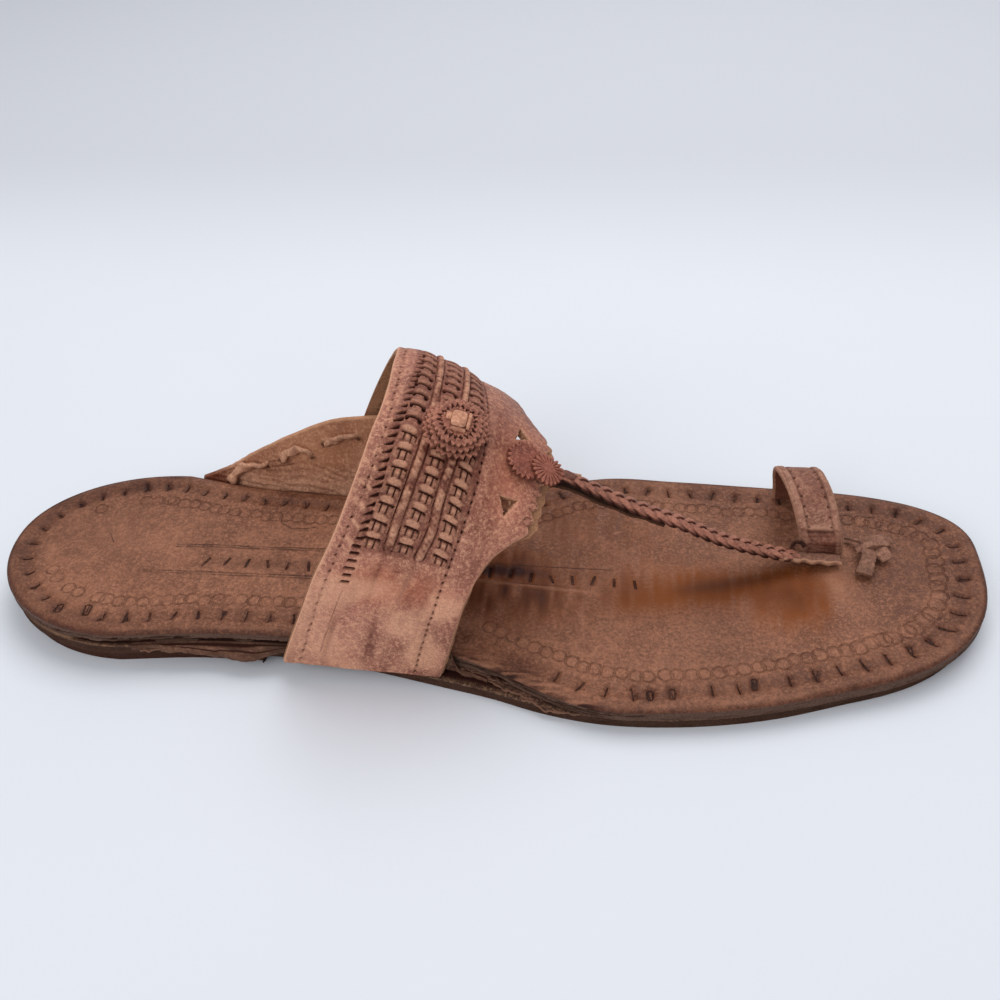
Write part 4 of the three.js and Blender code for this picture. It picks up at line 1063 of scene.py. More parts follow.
def band_relief(around, ahead, rear, front, cuts_distance):
    relief = Relief(around.shape)
    for k, (column, first) in enumerate(zip(WEAVE_COLUMNS, FIRST_BARS)):
        weave_column(relief, around, ahead, column, first, 60 + k)
    for k, (column, start) in enumerate(zip(CORD_COLUMNS, (46.6, 45.4))):
        cord_ridge(relief, around, ahead, column, start, 70 + 3 * k)
    wedge_cuts(relief, around, ahead, 80)
    pressed_folds(relief, around, ahead)
    sewn_line(relief, around, ahead, REAR_STITCH_COLUMN, 1.5, 182, 81)
    sewn_line(relief, around, ahead, FRONT_STITCH_COLUMN, 1.5, 182, 82)
    groove = np.abs(ahead - 10.2 - 0.035 * (around - 8))
    relief.slit(np.where((around > 7.5) & (around < 31.5), groove, FAR), 0.08, 0.2, 0.7, 0.2)
    for ring_around, ring_ahead in PUNCHED_RINGS:
        ring = np.abs(np.hypot(around - ring_around, ahead - ring_ahead) - PUNCHED_RADIUS)
        relief.slit(ring, 0.12, 0.3, 0.75, 0.18)
    for beyond in (4.2, 7.0):
        chain = np.abs(np.hypot((around / 2.2 % 1 - 0.5) * 2.2,
                                ahead - along(BAND_LINES, FRONT_STITCH_COLUMN, around) - beyond) - 0.8)
        faint = window(around, 44, 96, 6) * bump(chain, 0.34) * (0.7 + 0.5 * noise(around, ahead, 5, 102))
        relief.height -= 0.16 * faint
        relief.tone += 0.3 * faint
    nick = np.hypot(np.maximum(np.abs(ahead - 23.6) - 1.1, 0), around - 39.6 + 0.1 * (ahead - 23.6))
    relief.slit(nick, 0.05, 0.25, 0.8, 0.16)

    woven = window(around, WEAVE_START, WEAVE_END, 1.5) * window(
        ahead, along(BAND_LINES, WEDGE_COLUMN, around) - 0.5,
        along(BAND_LINES, FRONT_STITCH_COLUMN, around) - 0.3, 1.0)
    relief.height += 0.25 * noise(around, ahead, 16, 90) + 0.1 * noise(around, ahead, 5, 91)
    relief.height += 0.05 * noise(around, ahead, 1.6, 92)
    lower = 1 - smooth_step((around - 36) / 10)
    streak = noise(around * 0.16, ahead, 2.6, 93)
    relief.height += 0.14 * lower * streak
    patches = smooth_step(noise(around * 0.7, ahead, 9, 103) * 1.5 + 0.15) * window(around, 2, 33, 6)
    relief.wear = np.maximum(relief.wear, 0.6 * patches)
    relief.tone += lower * 0.42 * smooth_step(streak * 1.5) * (0.6 + 0.4 * noise(around, ahead, 9, 94))
    for smudge_around, smudge_ahead in ((36.5, 18.4), (36.5, 27.2), (14, 11.6), (13, 23.0)):
        relief.tone += 0.5 * bump(np.hypot((around - smudge_around) / 9, (ahead - smudge_ahead) / 0.9), 1)
    relief.tone += 0.3 * bump(np.hypot((around - 92) / 20, (ahead - 44) / 8), 1)
    relief.tone += woven * (0.42 + 0.15 * noise(around, ahead, 8, 95)) + 0.25 * relief.cut
    edge = np.minimum(np.minimum(ahead - rear, front - ahead), np.maximum(cuts_distance, 0))
    # Darker toward the front edge, and a painted shadow round the lower rosette's seat.
    relief.tone += (0.22 * bump(front - ahead, 3.5)
                    + 0.4 * bump(np.hypot((around - 80) / 14, (ahead - 25) / 12), 1))
    relief.warm += (0.62 * bump(np.hypot((around - 35) / 7, (ahead - 24) / 13), 1)
                    * (0.8 + 0.4 * noise(around, ahead, 8, 104)))
    relief.warm += 0.3 * bump(np.hypot((around - 78) / 16, (ahead - 44) / 7), 1)
    relief.wear = np.maximum(relief.wear, np.maximum(0.5 * bump(edge, 0.45), 0.95 * bump(ahead - rear, 0.55)))
    relief.wear = np.maximum(relief.wear, 0.25 * lower * smooth_step(-streak * 1.5))
    relief.height -= 0.45 * (1 - smooth_step(edge / 0.75)) ** 2
    return relief


def build_band():
    arounds = np.r_[np.arange(0, 30, 0.7), np.arange(30, 126, 0.3), np.arange(126, ARCH_LENGTH, 0.85),
                    ARCH_LENGTH]
    offsets = np.r_[0, 0.2, 0.45, np.arange(0.8, 6, 0.55), np.arange(6, 37.2, 0.3)]
    share = np.linspace(0, 1, 28)[1:]
    around = np.repeat(arounds[:, None], len(offsets) + len(share), 1)
    rear, front = along(BAND_EDGES, 1, around), along(BAND_EDGES, 2, around)
    scallop = np.abs(np.cos(math.pi * around / SCALLOP_PITCH)) ** 2.2
    front = front - SCALLOP_DEPTH * scallop * window(around, 63, 96, 1.5) - 0.25
    front += 0.15 * noise(around, 0 * around, 3, 96)
    last = offsets[-1]
    ahead = rear + np.concatenate(
        [np.broadcast_to(offsets, (len(arounds), len(offsets))),
         last + (front - rear - last)[:, :len(share)] * share], 1)
    across = (ahead - rear) / (front - rear)
    rise = BAND_FOOT_RISE * (1 - across)
    around = around + rise * (1 - smooth_step(around / 18))
    around, ahead, cuts_distance = snap_to_cuts(around, ahead, V_CUTS, 0.24)
    relief = band_relief(around, ahead, rear, front, cuts_distance)
    points, normals = band_points(around, ahead, relief.height)
    faces = grid_faces(*around.shape)
    flat_around, flat_ahead = around.ravel(), ahead.ravel()
    open_face = np.zeros(len(faces), bool)
    for corners in V_CUTS:
        d, _, _ = polygon_distance(flat_around[faces].mean(1), flat_ahead[faces].mean(1), corners)
        open_face |= d < -0.02
    faces = faces[~open_face]
    skin = Skin("woven_band")
    skin.add(points, faces, cut=relief.cut, wear=relief.wear, tone=relief.tone, warm=relief.warm)
    wall, wall_faces = rim_wall(points.reshape(-1, 3), normals.reshape(-1, 3), faces,
                                [(0, 0), (0.1, 0.2), (0.12, 0.6), (0.02, 1.0), (-0.2, LEATHER_THICK),
                                 (-1.2, LEATHER_THICK)])
    skin.add(wall, wall_faces, raw=0.9)
    material = leather("woven_band_leather", base=rgb(168, 118, 107), dark=rgb(128, 84, 75),
                       light=rgb(220, 176, 152), warm=rgb(184, 110, 80), raw=rgb(196, 162, 138),
                       roughness=(0.45, 0.68), patch=22, mottle=2.4)
    skin.build(material, ["instep_band"])
    build_lining()


def build_lining():
    """The undyed lining behind the band: its cut edge stands a little proud all round."""
    arounds = np.linspace(0, ARCH_LENGTH, 300)
    share = np.linspace(0, 1, 64)
    around = np.repeat(arounds[:, None], len(share), 1)
    rear = along(BAND_EDGES, 1, around) - 0.35
    scallop = np.abs(np.cos(math.pi * around / SCALLOP_PITCH + 0.9)) ** 2.2
    front = along(BAND_EDGES, 2, around) + 0.15
    front += window(around, 62, 96, 2) * (1.5 - 0.7 * scallop) + 0.2 * noise(around, 0 * around, 2.3, 97)
    ahead = rear + (front - rear) * share
    around = around + BAND_FOOT_RISE * (1 - share) * (1 - smooth_step(around / 18))
    cuts = [tuple(np.array(corners).mean(0) + (np.array(corners) - np.array(corners).mean(0)) * 0.9)
            for corners in V_CUTS]
    around, ahead, _ = snap_to_cuts(around, ahead, cuts, 0.4)
    faces = grid_faces(*around.shape)
    open_face = np.zeros(len(faces), bool)
    for corners in cuts:
        d, _, _ = polygon_distance(around.ravel()[faces].mean(1), ahead.ravel()[faces].mean(1), corners)
        open_face |= d < -0.02
    faces = faces[~open_face]
    relief = Relief(around.shape)
    for column, seed in ((REAR_STITCH_COLUMN, 98), (FRONT_STITCH_COLUMN, 99)):
        sewn_line(relief, around, ahead, column, 1.5, 182, seed)
    rough = 0.12 * noise(around, ahead, 4, 100) + 0.05 * noise(around, ahead, 1.5, 101)
    inner, normals = band_points(around, ahead, -BAND_WALL + 0.05 - relief.height * 0.5 - rough)
    outer, _ = band_points(around, ahead, -LEATHER_THICK - 0.02 + 0 * around)
    skin = Skin("band_lining")
    skin.add(inner, faces, raw=0.9, cut=relief.cut, tone=0.35 * bump(around - 126, 26))
    skin.add(outer, faces, raw=1.0)
    wall, wall_faces = rim_wall(outer.reshape(-1, 3), normals.reshape(-1, 3), faces,
                                [(0, 0), (0.12, 0.3), (0.12, 0.8), (0, BAND_WALL - LEATHER_THICK - 0.07)])
    skin.add(wall, wall_faces, raw=1.0, wear=0.3)
    material = leather("raw_lining_leather", base=rgb(160, 124, 98), dark=rgb(112, 84, 64),
                       light=rgb(196, 162, 134), warm=rgb(140, 96, 66), raw=rgb(172, 134, 108),
                       roughness=(0.75, 0.92), patch=12, mottle=1.6)
    skin.build(material)


# ---------------------------------------------------------------- sweeps


def sweep_frames(centres, up=(0, 0, 1)):
    """Tangent, side and normal at each point of a path."""
    tangent = np.gradient(centres, axis=0)
    tangent /= np.linalg.norm(tangent, axis=1, keepdims=True)
    side = np.cross(tangent, np.asarray(up, float))
    side /= np.linalg.norm(side, axis=1, keepdims=True)
    return tangent, side, np.cross(side, tangent)


def add_sweep(skin, centres, widths, thicks, sides=16, square=0.7, roll=0.0, up=(0, 0, 1),
              rough=0.0, seed=0, ends_raw=1.0, **values):
    """A closed strip or lace of oval to flat section along a path."""
    centres = np.asarray(centres, float)
    count = len(centres)
    widths = np.broadcast_to(widths, count).astype(float)
    thicks = np.broadcast_to(thicks, count).astype(float)
    _, side, normal = sweep_frames(centres, up)
    roll = np.broadcast_to(roll, count)[:, None]
    side, normal = (side * np.cos(roll) + normal * np.sin(roll),
                    normal * np.cos(roll) - side * np.sin(roll))
    angle = 2 * np.pi * (np.arange(sides) + 0.5) / sides
    across = np.sign(np.cos(angle)) * np.abs(np.cos(angle)) ** square
    above = np.sign(np.sin(angle)) * np.abs(np.sin(angle)) ** square
    ridge = 1.0
    if rough:
        run = np.r_[0, np.cumsum(np.linalg.norm(np.diff(centres, axis=0), axis=1))]
        ridge = 1 + rough * noise(run[:, None] + 0 * angle, angle[None] * 1.2 + 0 * run[:, None], 0.9, seed)
        ridge = ridge[..., None]
    tube = (centres[:, None] + side[:, None] * (across[None, :, None] * widths[:, None, None] / 2) * ridge
            + normal[:, None] * (above[None, :, None] * thicks[:, None, None] / 2) * ridge)
    skin.grid(tube, close_columns=True, **values)
    for ring in (tube[0], tube[-1]):
        middle = ring.mean(0)
        cap = np.stack([ring, middle + (ring - middle) * 0.45, np.broadcast_to(middle, ring.shape)])
        skin.grid(cap, close_columns=True, raw=ends_raw)


# ---------------------------------------------------------------- ears

# x, height of the top edge, reach of the root under the top sole, limit inside the band.
INNER_EAR = [
    (-100, 12.2, 0.2, 60), (-90, 17.2, 3.6, 60), (-80, 23.6, 6, 50), (-68, 30.3, 6, 40),
    (-58, 35, 6, 37.8), (-48, 38.3, 6, 37.4), (-38, 39.7, 6, 37.4), (-20, 39.6, 6, 37.1),
    (-8, 35.8, 3, 37), (4, 27, -0.9, 38.4), (14, 16.8, -0.9, 45), (22, 10.8, -0.9, 60),
    (28, 8.2, -0.9, 60),
]
INNER_EAR_LEAN, EAR_THICK, FLANGE_THICK = 0.22, 2.0, 1.2
# x, overhang past the sole's edge, drop, rise behind the band, reach of the root.
OUTER_EAR = [
    (-98, 0.4, 0, 0, 0.2), (-85, 1.6, 1, 0, 5), (-72, 2.6, 2.2, 0, 6), (-62, 3, 2.9, 0, 6),
    (-55, 2, 0.6, 0, 6), (-50, 2, 0, 4, 6), (-46, 2, 0, 13, 6), (-41, 2, 0, 24, 6),
    (-34, 2, 0, 26, 6), (-18, 2, 0, 26, 6), (-11, 2, 0, 20, 5), (-5, 1.8, 0, 6, 3),
    (0, 1.6, 0, 0, 2), (6, 1.4, 0, 0, 1.4),
]
# Thongs laced through the inner ear: x, z of each turn.
THONGS = [
    [(-89.5, 12.6), (-87.5, 15.6), (-84.9, 18.4), (-80.4, 20.2), (-75.2, 20.6)],
    [(-69.6, 23.2), (-67.4, 26.0), (-63.6, 27.4), (-60.6, 27.4), (-58.9, 25.4)],
    [(-54.2, 30.2), (-51.6, 31.4), (-48.6, 32.4), (-45.4, 33.4), (-42.6, 33.0)],
]


def flange_heights(x):
    bottom = outsole_top(x) + LAYER_FILM
    return bottom, bottom + np.minimum(FLANGE_THICK, np.maximum(layer_gap(x) - 2 * LAYER_FILM, 0.5))


def inner_ear_y(x, z):
    """The inner ear's face toward the foot."""
    edge = along(TOP_OUTLINE, 2, x) + SKIN_GAP
    _, top = flange_heights(x)
    outward = edge + INNER_EAR_LEAN * (z - top)
    limit = along(INNER_EAR, 3, x) - EAR_THICK
    return 0.5 * (outward + limit - np.sqrt((outward - limit) ** 2 + 0.4))


def ear_wrinkles(x, z, base):
    """Long soft folds near the root, puckers at the laced thongs and a gentle buckle above."""
    up = z - base
    drift = 2.4 * noise(x, z, 18, 110) + 1.0 * noise(x, z * 0.6, 6, 111)
    phase = (up + 0.1 * (x + 66) + drift) / 2.0
    sharp = 1 - np.abs(((phase % 1) - 0.5) * 2) ** 1.6
    sharp = 1 - (1 - sharp) * (0.45 + 0.55 * smooth_step(noise(x, z * 2, 7, 119) + 0.6))
    folds = 0.85 * (sharp - 0.5) * window(x, -84, -22, 9) * window(up, 0.8, 12, 3)
    buckle = 0.5 * noise(x, z, 17, 112) + 0.14 * noise(x, z, 4, 113) + 0.05 * noise(x, z, 1.4, 114)
    pucker = np.zeros(x.shape)
    for thong in THONGS:
        for spot_x, spot_z in (thong[0], thong[-1]):
            pucker -= 0.7 * bump(np.hypot(x - spot_x, z - spot_z), 1.5)
    return folds + buckle * smooth_step(up / 4) + pucker, sharp


def build_inner_ear(material):
    x = np.linspace(-100, 28, 230)[:, None]
    bottom, top = flange_heights(x)
    crest = np.maximum(along(INNER_EAR, 1, x), top + 0.8) - 0.6 + 0.14 * noise(x, 0 * x, 4, 115)
    edge = along(TOP_OUTLINE, 2, x) + SKIN_GAP
    root = edge - SKIN_GAP - along(INNER_EAR, 2, x)
    share = np.linspace(0, 1, 44)[None]
    z = top + (crest - top) * share
    wrinkle, sharp = ear_wrinkles(x + 0 * z, z, top)
    wrinkle = wrinkle * smooth_step(share * 6) * smooth_step((crest - top) / 8)
    face = inner_ear_y(x + 0 * z, z) + wrinkle
    turn = np.linspace(0, math.pi, 8)[None, 1:-1]
    middle = face[:, -1:] + EAR_THICK / 2
    rim_y = middle - EAR_THICK / 2 * np.cos(turn)
    rim_z = crest + EAR_THICK / 3 * np.sin(turn)
    outside_z = bottom + (crest - bottom) * share[:, ::-1]
    ys = np.concatenate([root, (root + edge) / 2, face, rim_y, face[:, ::-1] + EAR_THICK,
                         (root + edge) / 2 + EAR_THICK, root], 1)
    zs = np.concatenate([top, top, z, rim_z, outside_z, bottom, bottom], 1)
    xs = x + 0 * ys
    skin = Skin("inner_ear_leather")
    raw = np.zeros(xs.shape)
    raw[:, 2 + z.shape[1]:2 + z.shape[1] + rim_z.shape[1]] = 0.45 * smooth_step((x + 96) / 12)
    shade = np.zeros(xs.shape)
    low = 1 - smooth_step((z - top) / 5)
    shade[:, 2:2 + z.shape[1]] = 0.2 * low + 0.6 * (1 - sharp) * window(z - top, 0.5, 12, 3)
    shade += 0.15 * noise(xs, zs, 9, 116) + 0.9 * (1 - smooth_step((xs + 98) / 14))
    # Dark spots where the thongs pass through the ear are painted shade in the holes.
    cut = np.zeros(xs.shape)
    for thong in THONGS:
        for (spot_x, spot_z), size in ((thong[0], 1.5), (thong[-1], 1.1), (thong[1], 0.7)):
            hole = np.hypot((xs - spot_x) / 1.3, zs - spot_z + 0.5)
            cut = np.maximum(cut, 0.85 * smooth_step((size - hole) / 0.8))
    warm = 0.35 * window(zs, 26, 60, 10) + 0.2 * noise(xs, zs, 12, 117)
    skin.grid(np.stack([xs, ys, zs], -1), close_columns=True, raw=raw, cut=cut, tone=np.clip(shade, 0, 1),
              warm=np.clip(warm, 0, 1))
    for k in (0, -1):
        ring = np.stack([xs[k], ys[k], zs[k]], -1)
        skin.grid(np.stack([ring, np.broadcast_to(ring.mean(0), ring.shape)]), close_columns=True, raw=0.8)
    skin.build(material, ["ear_inner"])

    skin = Skin("laced_thongs")
    for k, thong in enumerate(THONGS):
        spots, run = even_path([(x, 0, z) for x, z in thong], 0.4)
        y = inner_ear_y(spots[:, 0], spots[:, 2])
        lift = 1.5 * smooth_step(run / 1.6) * smooth_step((run[-1] - run) / 1.6) - 0.7
        spots[:, 1] = y - lift - 0.35 * np.sin(run * 1.3 + k)
        add_sweep(skin, spots, 3.0 + 0.5 * np.sin(run * 0.9 + k), 1.7, up=(0, 1, 0),
                  roll=0.9 * np.sin(run / 3.1 + k),
                  rough=0.1, seed=118 + k, tone=0.1, wear=0.2)
    skin.build(material)


def build_outer_ear(material):
    """The outer ear: a frayed tail that hangs from the gap behind the band, risen inside the band."""
    x = np.linspace(-98, 6, 210)[:, None]
    bottom, top = flange_heights(x)
    edge = -along(TOP_OUTLINE, 1, x)
    root = edge + np.maximum(along(OUTER_EAR, 4, x), 0.2)
    lip = edge - SKIN_GAP
    rise = np.maximum(along(OUTER_EAR, 3, x), 0)
    risen = smooth_step(rise / 6)
    loose = 1 - risen
    fray = loose * (0.7 * noise(x, 0 * x, 5, 120) + 0.3 * noise(x, 0 * x, 1.3, 121))
    share = np.linspace(0, 1, 24)[None]
    reach = lip - 0.6 - (np.maximum(along(OUTER_EAR, 1, x) + fray, 0.3) - 0.3) * share
    sag = (along(OUTER_EAR, 2, x) + 0.4 * loose * noise(x, 0 * x, 9, 122)) * smooth_step(share)
    z_up = top + rise * share
    inside_arch = np.interp(z_up, [row[1] for row in BAND_ARCH[:5]], [row[0] for row in BAND_ARCH[:5]])
    face = np.minimum(inside_arch + BAND_WALL + 2 * SKIN_GAP,
                      np.where(z_up < top_sole_top(x), edge - SKIN_GAP - 1.3, 0))
    wave = 0.35 * noise(x + 0 * share, z_up, 6, 123) * share
    inside_y = reach + (face + 1.3 - reach) * risen
    inside_z = top - sag + rise * share * risen + wave * loose
    outside_y = reach + (face - reach) * risen
    outside_z = (bottom - sag) * loose + z_up * risen + wave * loose
    ys = np.concatenate([root, lip - 0.1, inside_y, outside_y[:, ::-1], lip - 0.6 - 0.8 * risen, root], 1)
    zs = np.concatenate([top, top, inside_z, outside_z[:, ::-1], bottom, bottom], 1)
    xs = x + 0 * ys
    skin = Skin("outer_ear_leather")
    shade = 0.35 + 0.7 * noise(xs * 0.2, zs * 2, 1.2, 124)
    # Painted shade in the gap under the sole's edge, near the root, and a second dark line for the shade
    # between frayed layers.
    gap = loose * smooth_step((0.3 + 0.22 * noise(x, 0 * x, 7, 126) - share) / 0.16)
    second = np.abs(share - 0.62 - 0.14 * noise(x, 0 * x, 9, 127))
    gap = np.maximum(gap, loose * 0.9 * smooth_step((0.09 - second) / 0.05) * window(x, -84, -52, 3))
    plain = 0 * lip
    cut = np.concatenate([plain, plain, gap, gap[:, ::-1], plain, plain], 1)
    skin.grid(np.stack([xs, ys, zs], -1), close_columns=True, raw=0.4 * loose + 0.1, cut=cut,
              tone=np.clip(shade, 0, 1), wear=np.clip(0.5 * noise(xs * 0.4, zs * 4, 2, 125), 0, 1))
    for k in (0, -1):
        ring = np.stack([xs[k], ys[k], zs[k]], -1)
        skin.grid(np.stack([ring, np.broadcast_to(ring.mean(0), ring.shape)]), close_columns=True, raw=0.8)
    skin.build(material, ["ear_outer"])


# ---------------------------------------------------------------- toe loop

# x, y, z, width along the strap's centre line, from its folded foot to its far foot.
TOE_LOOP = [
    (102.6, 16.6, 8.1, 13.2), (101.9, 16.9, 14, 13), (100.6, 17.9, 18.6, 13), (99, 20.9, 23.2, 13.2),
    (97.2, 25.5, 26, 13.4), (95.8, 31, 26.2, 13.4), (95.2, 36, 23.4, 13.2), (95.6, 38.8, 18.6, 13),
    (96.4, 40.2, 14, 13), (97, 40.8, 8.1, 13),
]
LOOP_THICK, LOOP_SHIFT = 2.1, 0.45
LOOP_HEM, LOOP_STITCH_PITCH = (2.1, 1.5), 3.0


def build_toe_loop(material):
    spots, run = even_path(TOE_LOOP, 0.35)
    ahead = np.gradient(spots[:, 1:3], axis=0)
    ahead /= np.linalg.norm(ahead, axis=1, keepdims=True)
    width = spots[:, 3]
    turn = np.linspace(-math.pi / 2, math.pi / 2, 8)
    share = np.linspace(-1, 1, 43)
    run = run[:, None]
    half = (width / 2)[:, None] - 0.9
    u = share[None] * half
    hem = half - np.where(u < 0, *LOOP_HEM)
    past_hem = np.abs(u) - hem
    height = 0.14 * smooth_step(past_hem / 0.5) - 0.16 * bump(past_hem, 0.35)
    height += 0.08 * bump(past_hem - 0.9, 0.7)
    buckle = run[-1] - run
    height += 0.16 * noise(run, u, 5, 130) + 0.08 * noise(run * 1.0, u * 0.35, 1.3, 131)
    fold = bump(run - 4.6, 2.0) * smooth_step((half - np.abs(u)) / 1.5 + 0.3)
    height += 0.75 * fold - 0.55 * bump(run - 8.2, 0.7)
    crease = 0.5 * noise(run * 1.6, u * 0.2, 1.0, 132)
    height += window(run, 2, 8, 1.5) * 0.3 * crease
    cut = np.zeros(u.shape) + 0.5 * bump(past_hem + 0.05, 0.2) * window(run, 8, 56, 2)
    # A dark line in the crease of the fold is painted shade.
    cut = np.maximum(cut, 0.75 * bump(run - 7.9, 0.28) * smooth_step((hem - np.abs(u)) + 0.7))
    for k, spot in enumerate(np.arange(9.5, run[-1, 0] - 3, LOOP_STITCH_PITCH)):
        shift = 0.12 * math.sin(7.3 * k)
        hole = np.hypot(past_hem + 0.45, run - spot - shift)
        inside = smooth_step((0.55 - hole) / 0.4)
        height -= 0.4 * inside
        cut = np.maximum(cut, 0.9 * inside)
    pale = 1.0 * bump(run - 9.3, 0.75) * smooth_step((hem - np.abs(u)) / 0.6 + 0.9)
    pale = np.maximum(pale, 0.35 * smooth_step(past_hem / 0.6) * (0.6 + 0.4 * noise(run, u, 1.5, 133)))
    shade = 0.85 * window(run, 0.2, 8, 0.8) * (0.7 + 0.5 * crease) + 0.15 * noise(run, u, 6, 134)
    shade += 0.42 * window(run, 19, 34, 7)
    top_h = LOOP_SHIFT + LOOP_THICK / 2 - 0.2 + height * window(buckle, 1.5, 90, 1.5)
    edge_u = half + 0.9 * np.cos(turn)[None] ** 0.6
    side_h = (LOOP_SHIFT + (LOOP_THICK / 2 - 0.2) * np.sin(turn)[None]
              + 0.12 * noise(run, turn[None], 0.8, 136))
    low_u = -share[None] * half
    low_h = LOOP_SHIFT - LOOP_THICK / 2 + 0.15 + 0 * low_u + 0.1 * noise(run, u, 3, 135)
    us = np.concatenate([u, edge_u[:, ::-1], low_u, -edge_u], 1)
    hs = np.concatenate([top_h, side_h[:, ::-1] + 0 * run, low_h, side_h + 0 * run], 1)
    pad = np.zeros((len(run), len(turn)))
    flat = np.zeros(low_u.shape)
    lay = [pad + 0.5, flat + 0.2, pad + 0.5]
    y, z = spots[:, 1:2], spots[:, 2:3]
    points = np.stack([spots[:, :1] + us, y - ahead[:, 1:] * hs, z + ahead[:, :1] * hs], -1)
    # The strap's inner face is darkened almost fully with painted shade.
    skin = Skin("stitched_toe_loop")
    skin.grid(points, close_columns=True, raw=np.concatenate([flat, *lay], 1),
              cut=np.concatenate([cut, pad, flat, pad], 1), wear=np.concatenate([pale, pad, flat, pad], 1),
              tone=np.clip(np.concatenate([shade, pad, flat + 0.95, pad], 1), 0, 1))
    for k in (0, -1):
        ring = points[k]
        skin.grid(np.stack([ring, np.broadcast_to(ring.mean(0), ring.shape)]), close_columns=True, raw=0.8)
    skin.build(material, ["toe_loop"])


# ---------------------------------------------------------------- braid

# x, y, z, width, thickness along the braid's centre line, from its seat under the band's tip.
BRAID = [
    (15.5, -2.8, 54.5, 4, 2.4), (20.5, -2.8, 51.2, 4, 2.4), (27, -2.6, 48.9, 4, 3),
    (35.4, -0.8, 42.9, 4.8, 3.6), (46.7, 1.2, 35.6, 5, 3.7),
    (58.5, 3.2, 29.2, 5, 3.7), (70.8, 5.4, 21.4, 5, 3.7), (83.4, 8.4, 15, 4.8, 3.5),
    (90, 10, 12.1, 4.8, 3.3), (97, 11.2, 10.3, 5, 2.8), (107.6, 11.6, 9.5, 5, 2.4),
]
BRAID_BACKING = [
    (15.5, -2.8, 52.1, 4.4, 1.2), (20.5, -2.8, 48.8, 4.4, 1.2),
    (24.5, -2.8, 47.4, 4.4, 1.2), (33.8, -1, 40.6, 3.0, 1.2), (45, 1, 33.6, 2.3, 1.2),
    (54, 2.4, 28.6, 0.8, 0.9),
]
BRAID_PITCH, LACES = 20.5, 5
PLAIT_END = 92.9  # how far along the braid the plaiting runs


def build_braid(material, raw_material):
    line, run = even_path(BRAID, 0.3)
    centres, width, thick = line[:, :3], line[:, 3], line[:, 4]
    _, side, normal = sweep_frames(centres)
    skin = Skin("plaited_braid")
    # The narrow sides of each strand, where the strands meet, are darkened with painted shade.
    painted_side_shade = 0.7 * smooth_step(
        (np.abs(np.cos(2 * np.pi * (np.arange(14) + 0.5) / 14)) - 0.86) / 0.1)[None]
    on = run < PLAIT_END
    closing = smooth_step(run / 1.2) * smooth_step((PLAIT_END + 2 - run) / 8)
    for strand in range(LACES):
        phase = 2 * math.pi * (run / BRAID_PITCH + strand / LACES)
        over = np.sin(2 * phase)
        across = 0.43 * width * np.sin(phase) * (0.35 + 0.65 * closing)
        above = 0.2 * thick * over * closing
        path_points = centres + side * across[:, None] + normal * above[:, None]
        lace = width * (0.43 + 0.03 * np.sin(5 * phase + strand))
        roll = -0.25 * np.cos(phase) * closing
        flat = thick * 0.33
        # Strands passing over are lightened, by rub and a painted highlight; strands passing under get
        # painted shade.
        rub_and_highlight = np.clip(0.35 + 0.4 * over, 0, 1)[on][:, None]
        shade = np.clip(0.6 - 0.6 * over + 0.3 * noise(run, 0 * run, 1.5, 151 + strand), 0, 1)[on][:, None]
        add_sweep(skin, path_points[on], lace[on], flat[on], sides=14, square=0.8, roll=roll[on], rough=0.07,
                  seed=140 + strand, tone=shade, wear=0.6 * rub_and_highlight, cut=painted_side_shade)
    collar = path([(24.6, -2.9, 50.4), (26.2, -2.6, 49.8), (28.2, -2.3, 48.6)], np.linspace(0, 1, 16))
    add_sweep(skin, collar, 3.8 - 1.2 * np.linspace(-1, 1, 16) ** 2, 1.8, rough=0.08, seed=144,
              tone=0.5, wear=0.1)
    skin.build(material, ["braid"])

    skin = Skin("braid_end_strip")
    end = line[run > PLAIT_END - 7]
    along_end = np.linspace(0, 1, len(end))
    strip = end[:, :3] + np.array((0, -0.3, -0.2))
    add_sweep(skin, strip, 2.4 + 1.8 * smooth_step(along_end * 3), 1.5, sides=20, square=0.7,
              rough=0.1, seed=145,
              tone=0.35, wear=0.15)
    rail = strip + np.array((0.2, -1.9, 0.35))
    rail[:, 1] -= 0.28 * np.sin(along_end * 26)
    add_sweep(skin, rail, 1.1 + 0.3 * np.sin(along_end * 26), 1.2, sides=10, rough=0.12, seed=146,
              wear=0.7, raw=0.3)
    loop = path([(94.8, 12.6, 10.2), (93.6, 13.4, 11.6), (94.2, 14.2, 13.0), (96.0, 14.2, 13.2),
                 (97.2, 13.6, 12.0)],
                np.linspace(0, 1, 40))
    add_sweep(skin, loop, 1.2, 0.7, sides=12, rough=0.12, seed=147, up=(0, 1, 0.2), tone=0.8, cut=0.35)
    skin.build(raw_material)

    # The strip under the braid is darkened strongly with painted shade from the braid above it.
    skin = Skin("braid_backing_strip")
    back, back_run = even_path(BRAID_BACKING, 0.4)
    back[:, 2] += 0.5 * noise(back_run, 0 * back_run, 5, 148)
    add_sweep(skin, back[:, :3], back[:, 3] * (1 + 0.12 * noise(back_run, 0 * back_run, 2.2, 149)), 1.0,
              sides=16, square=0.5,
              rough=0.1, seed=150, raw=0.2, tone=0.9, cut=0.25)
    skin.build(raw_material, ["braid_backing"])


# ---------------------------------------------------------------- knot at the toe

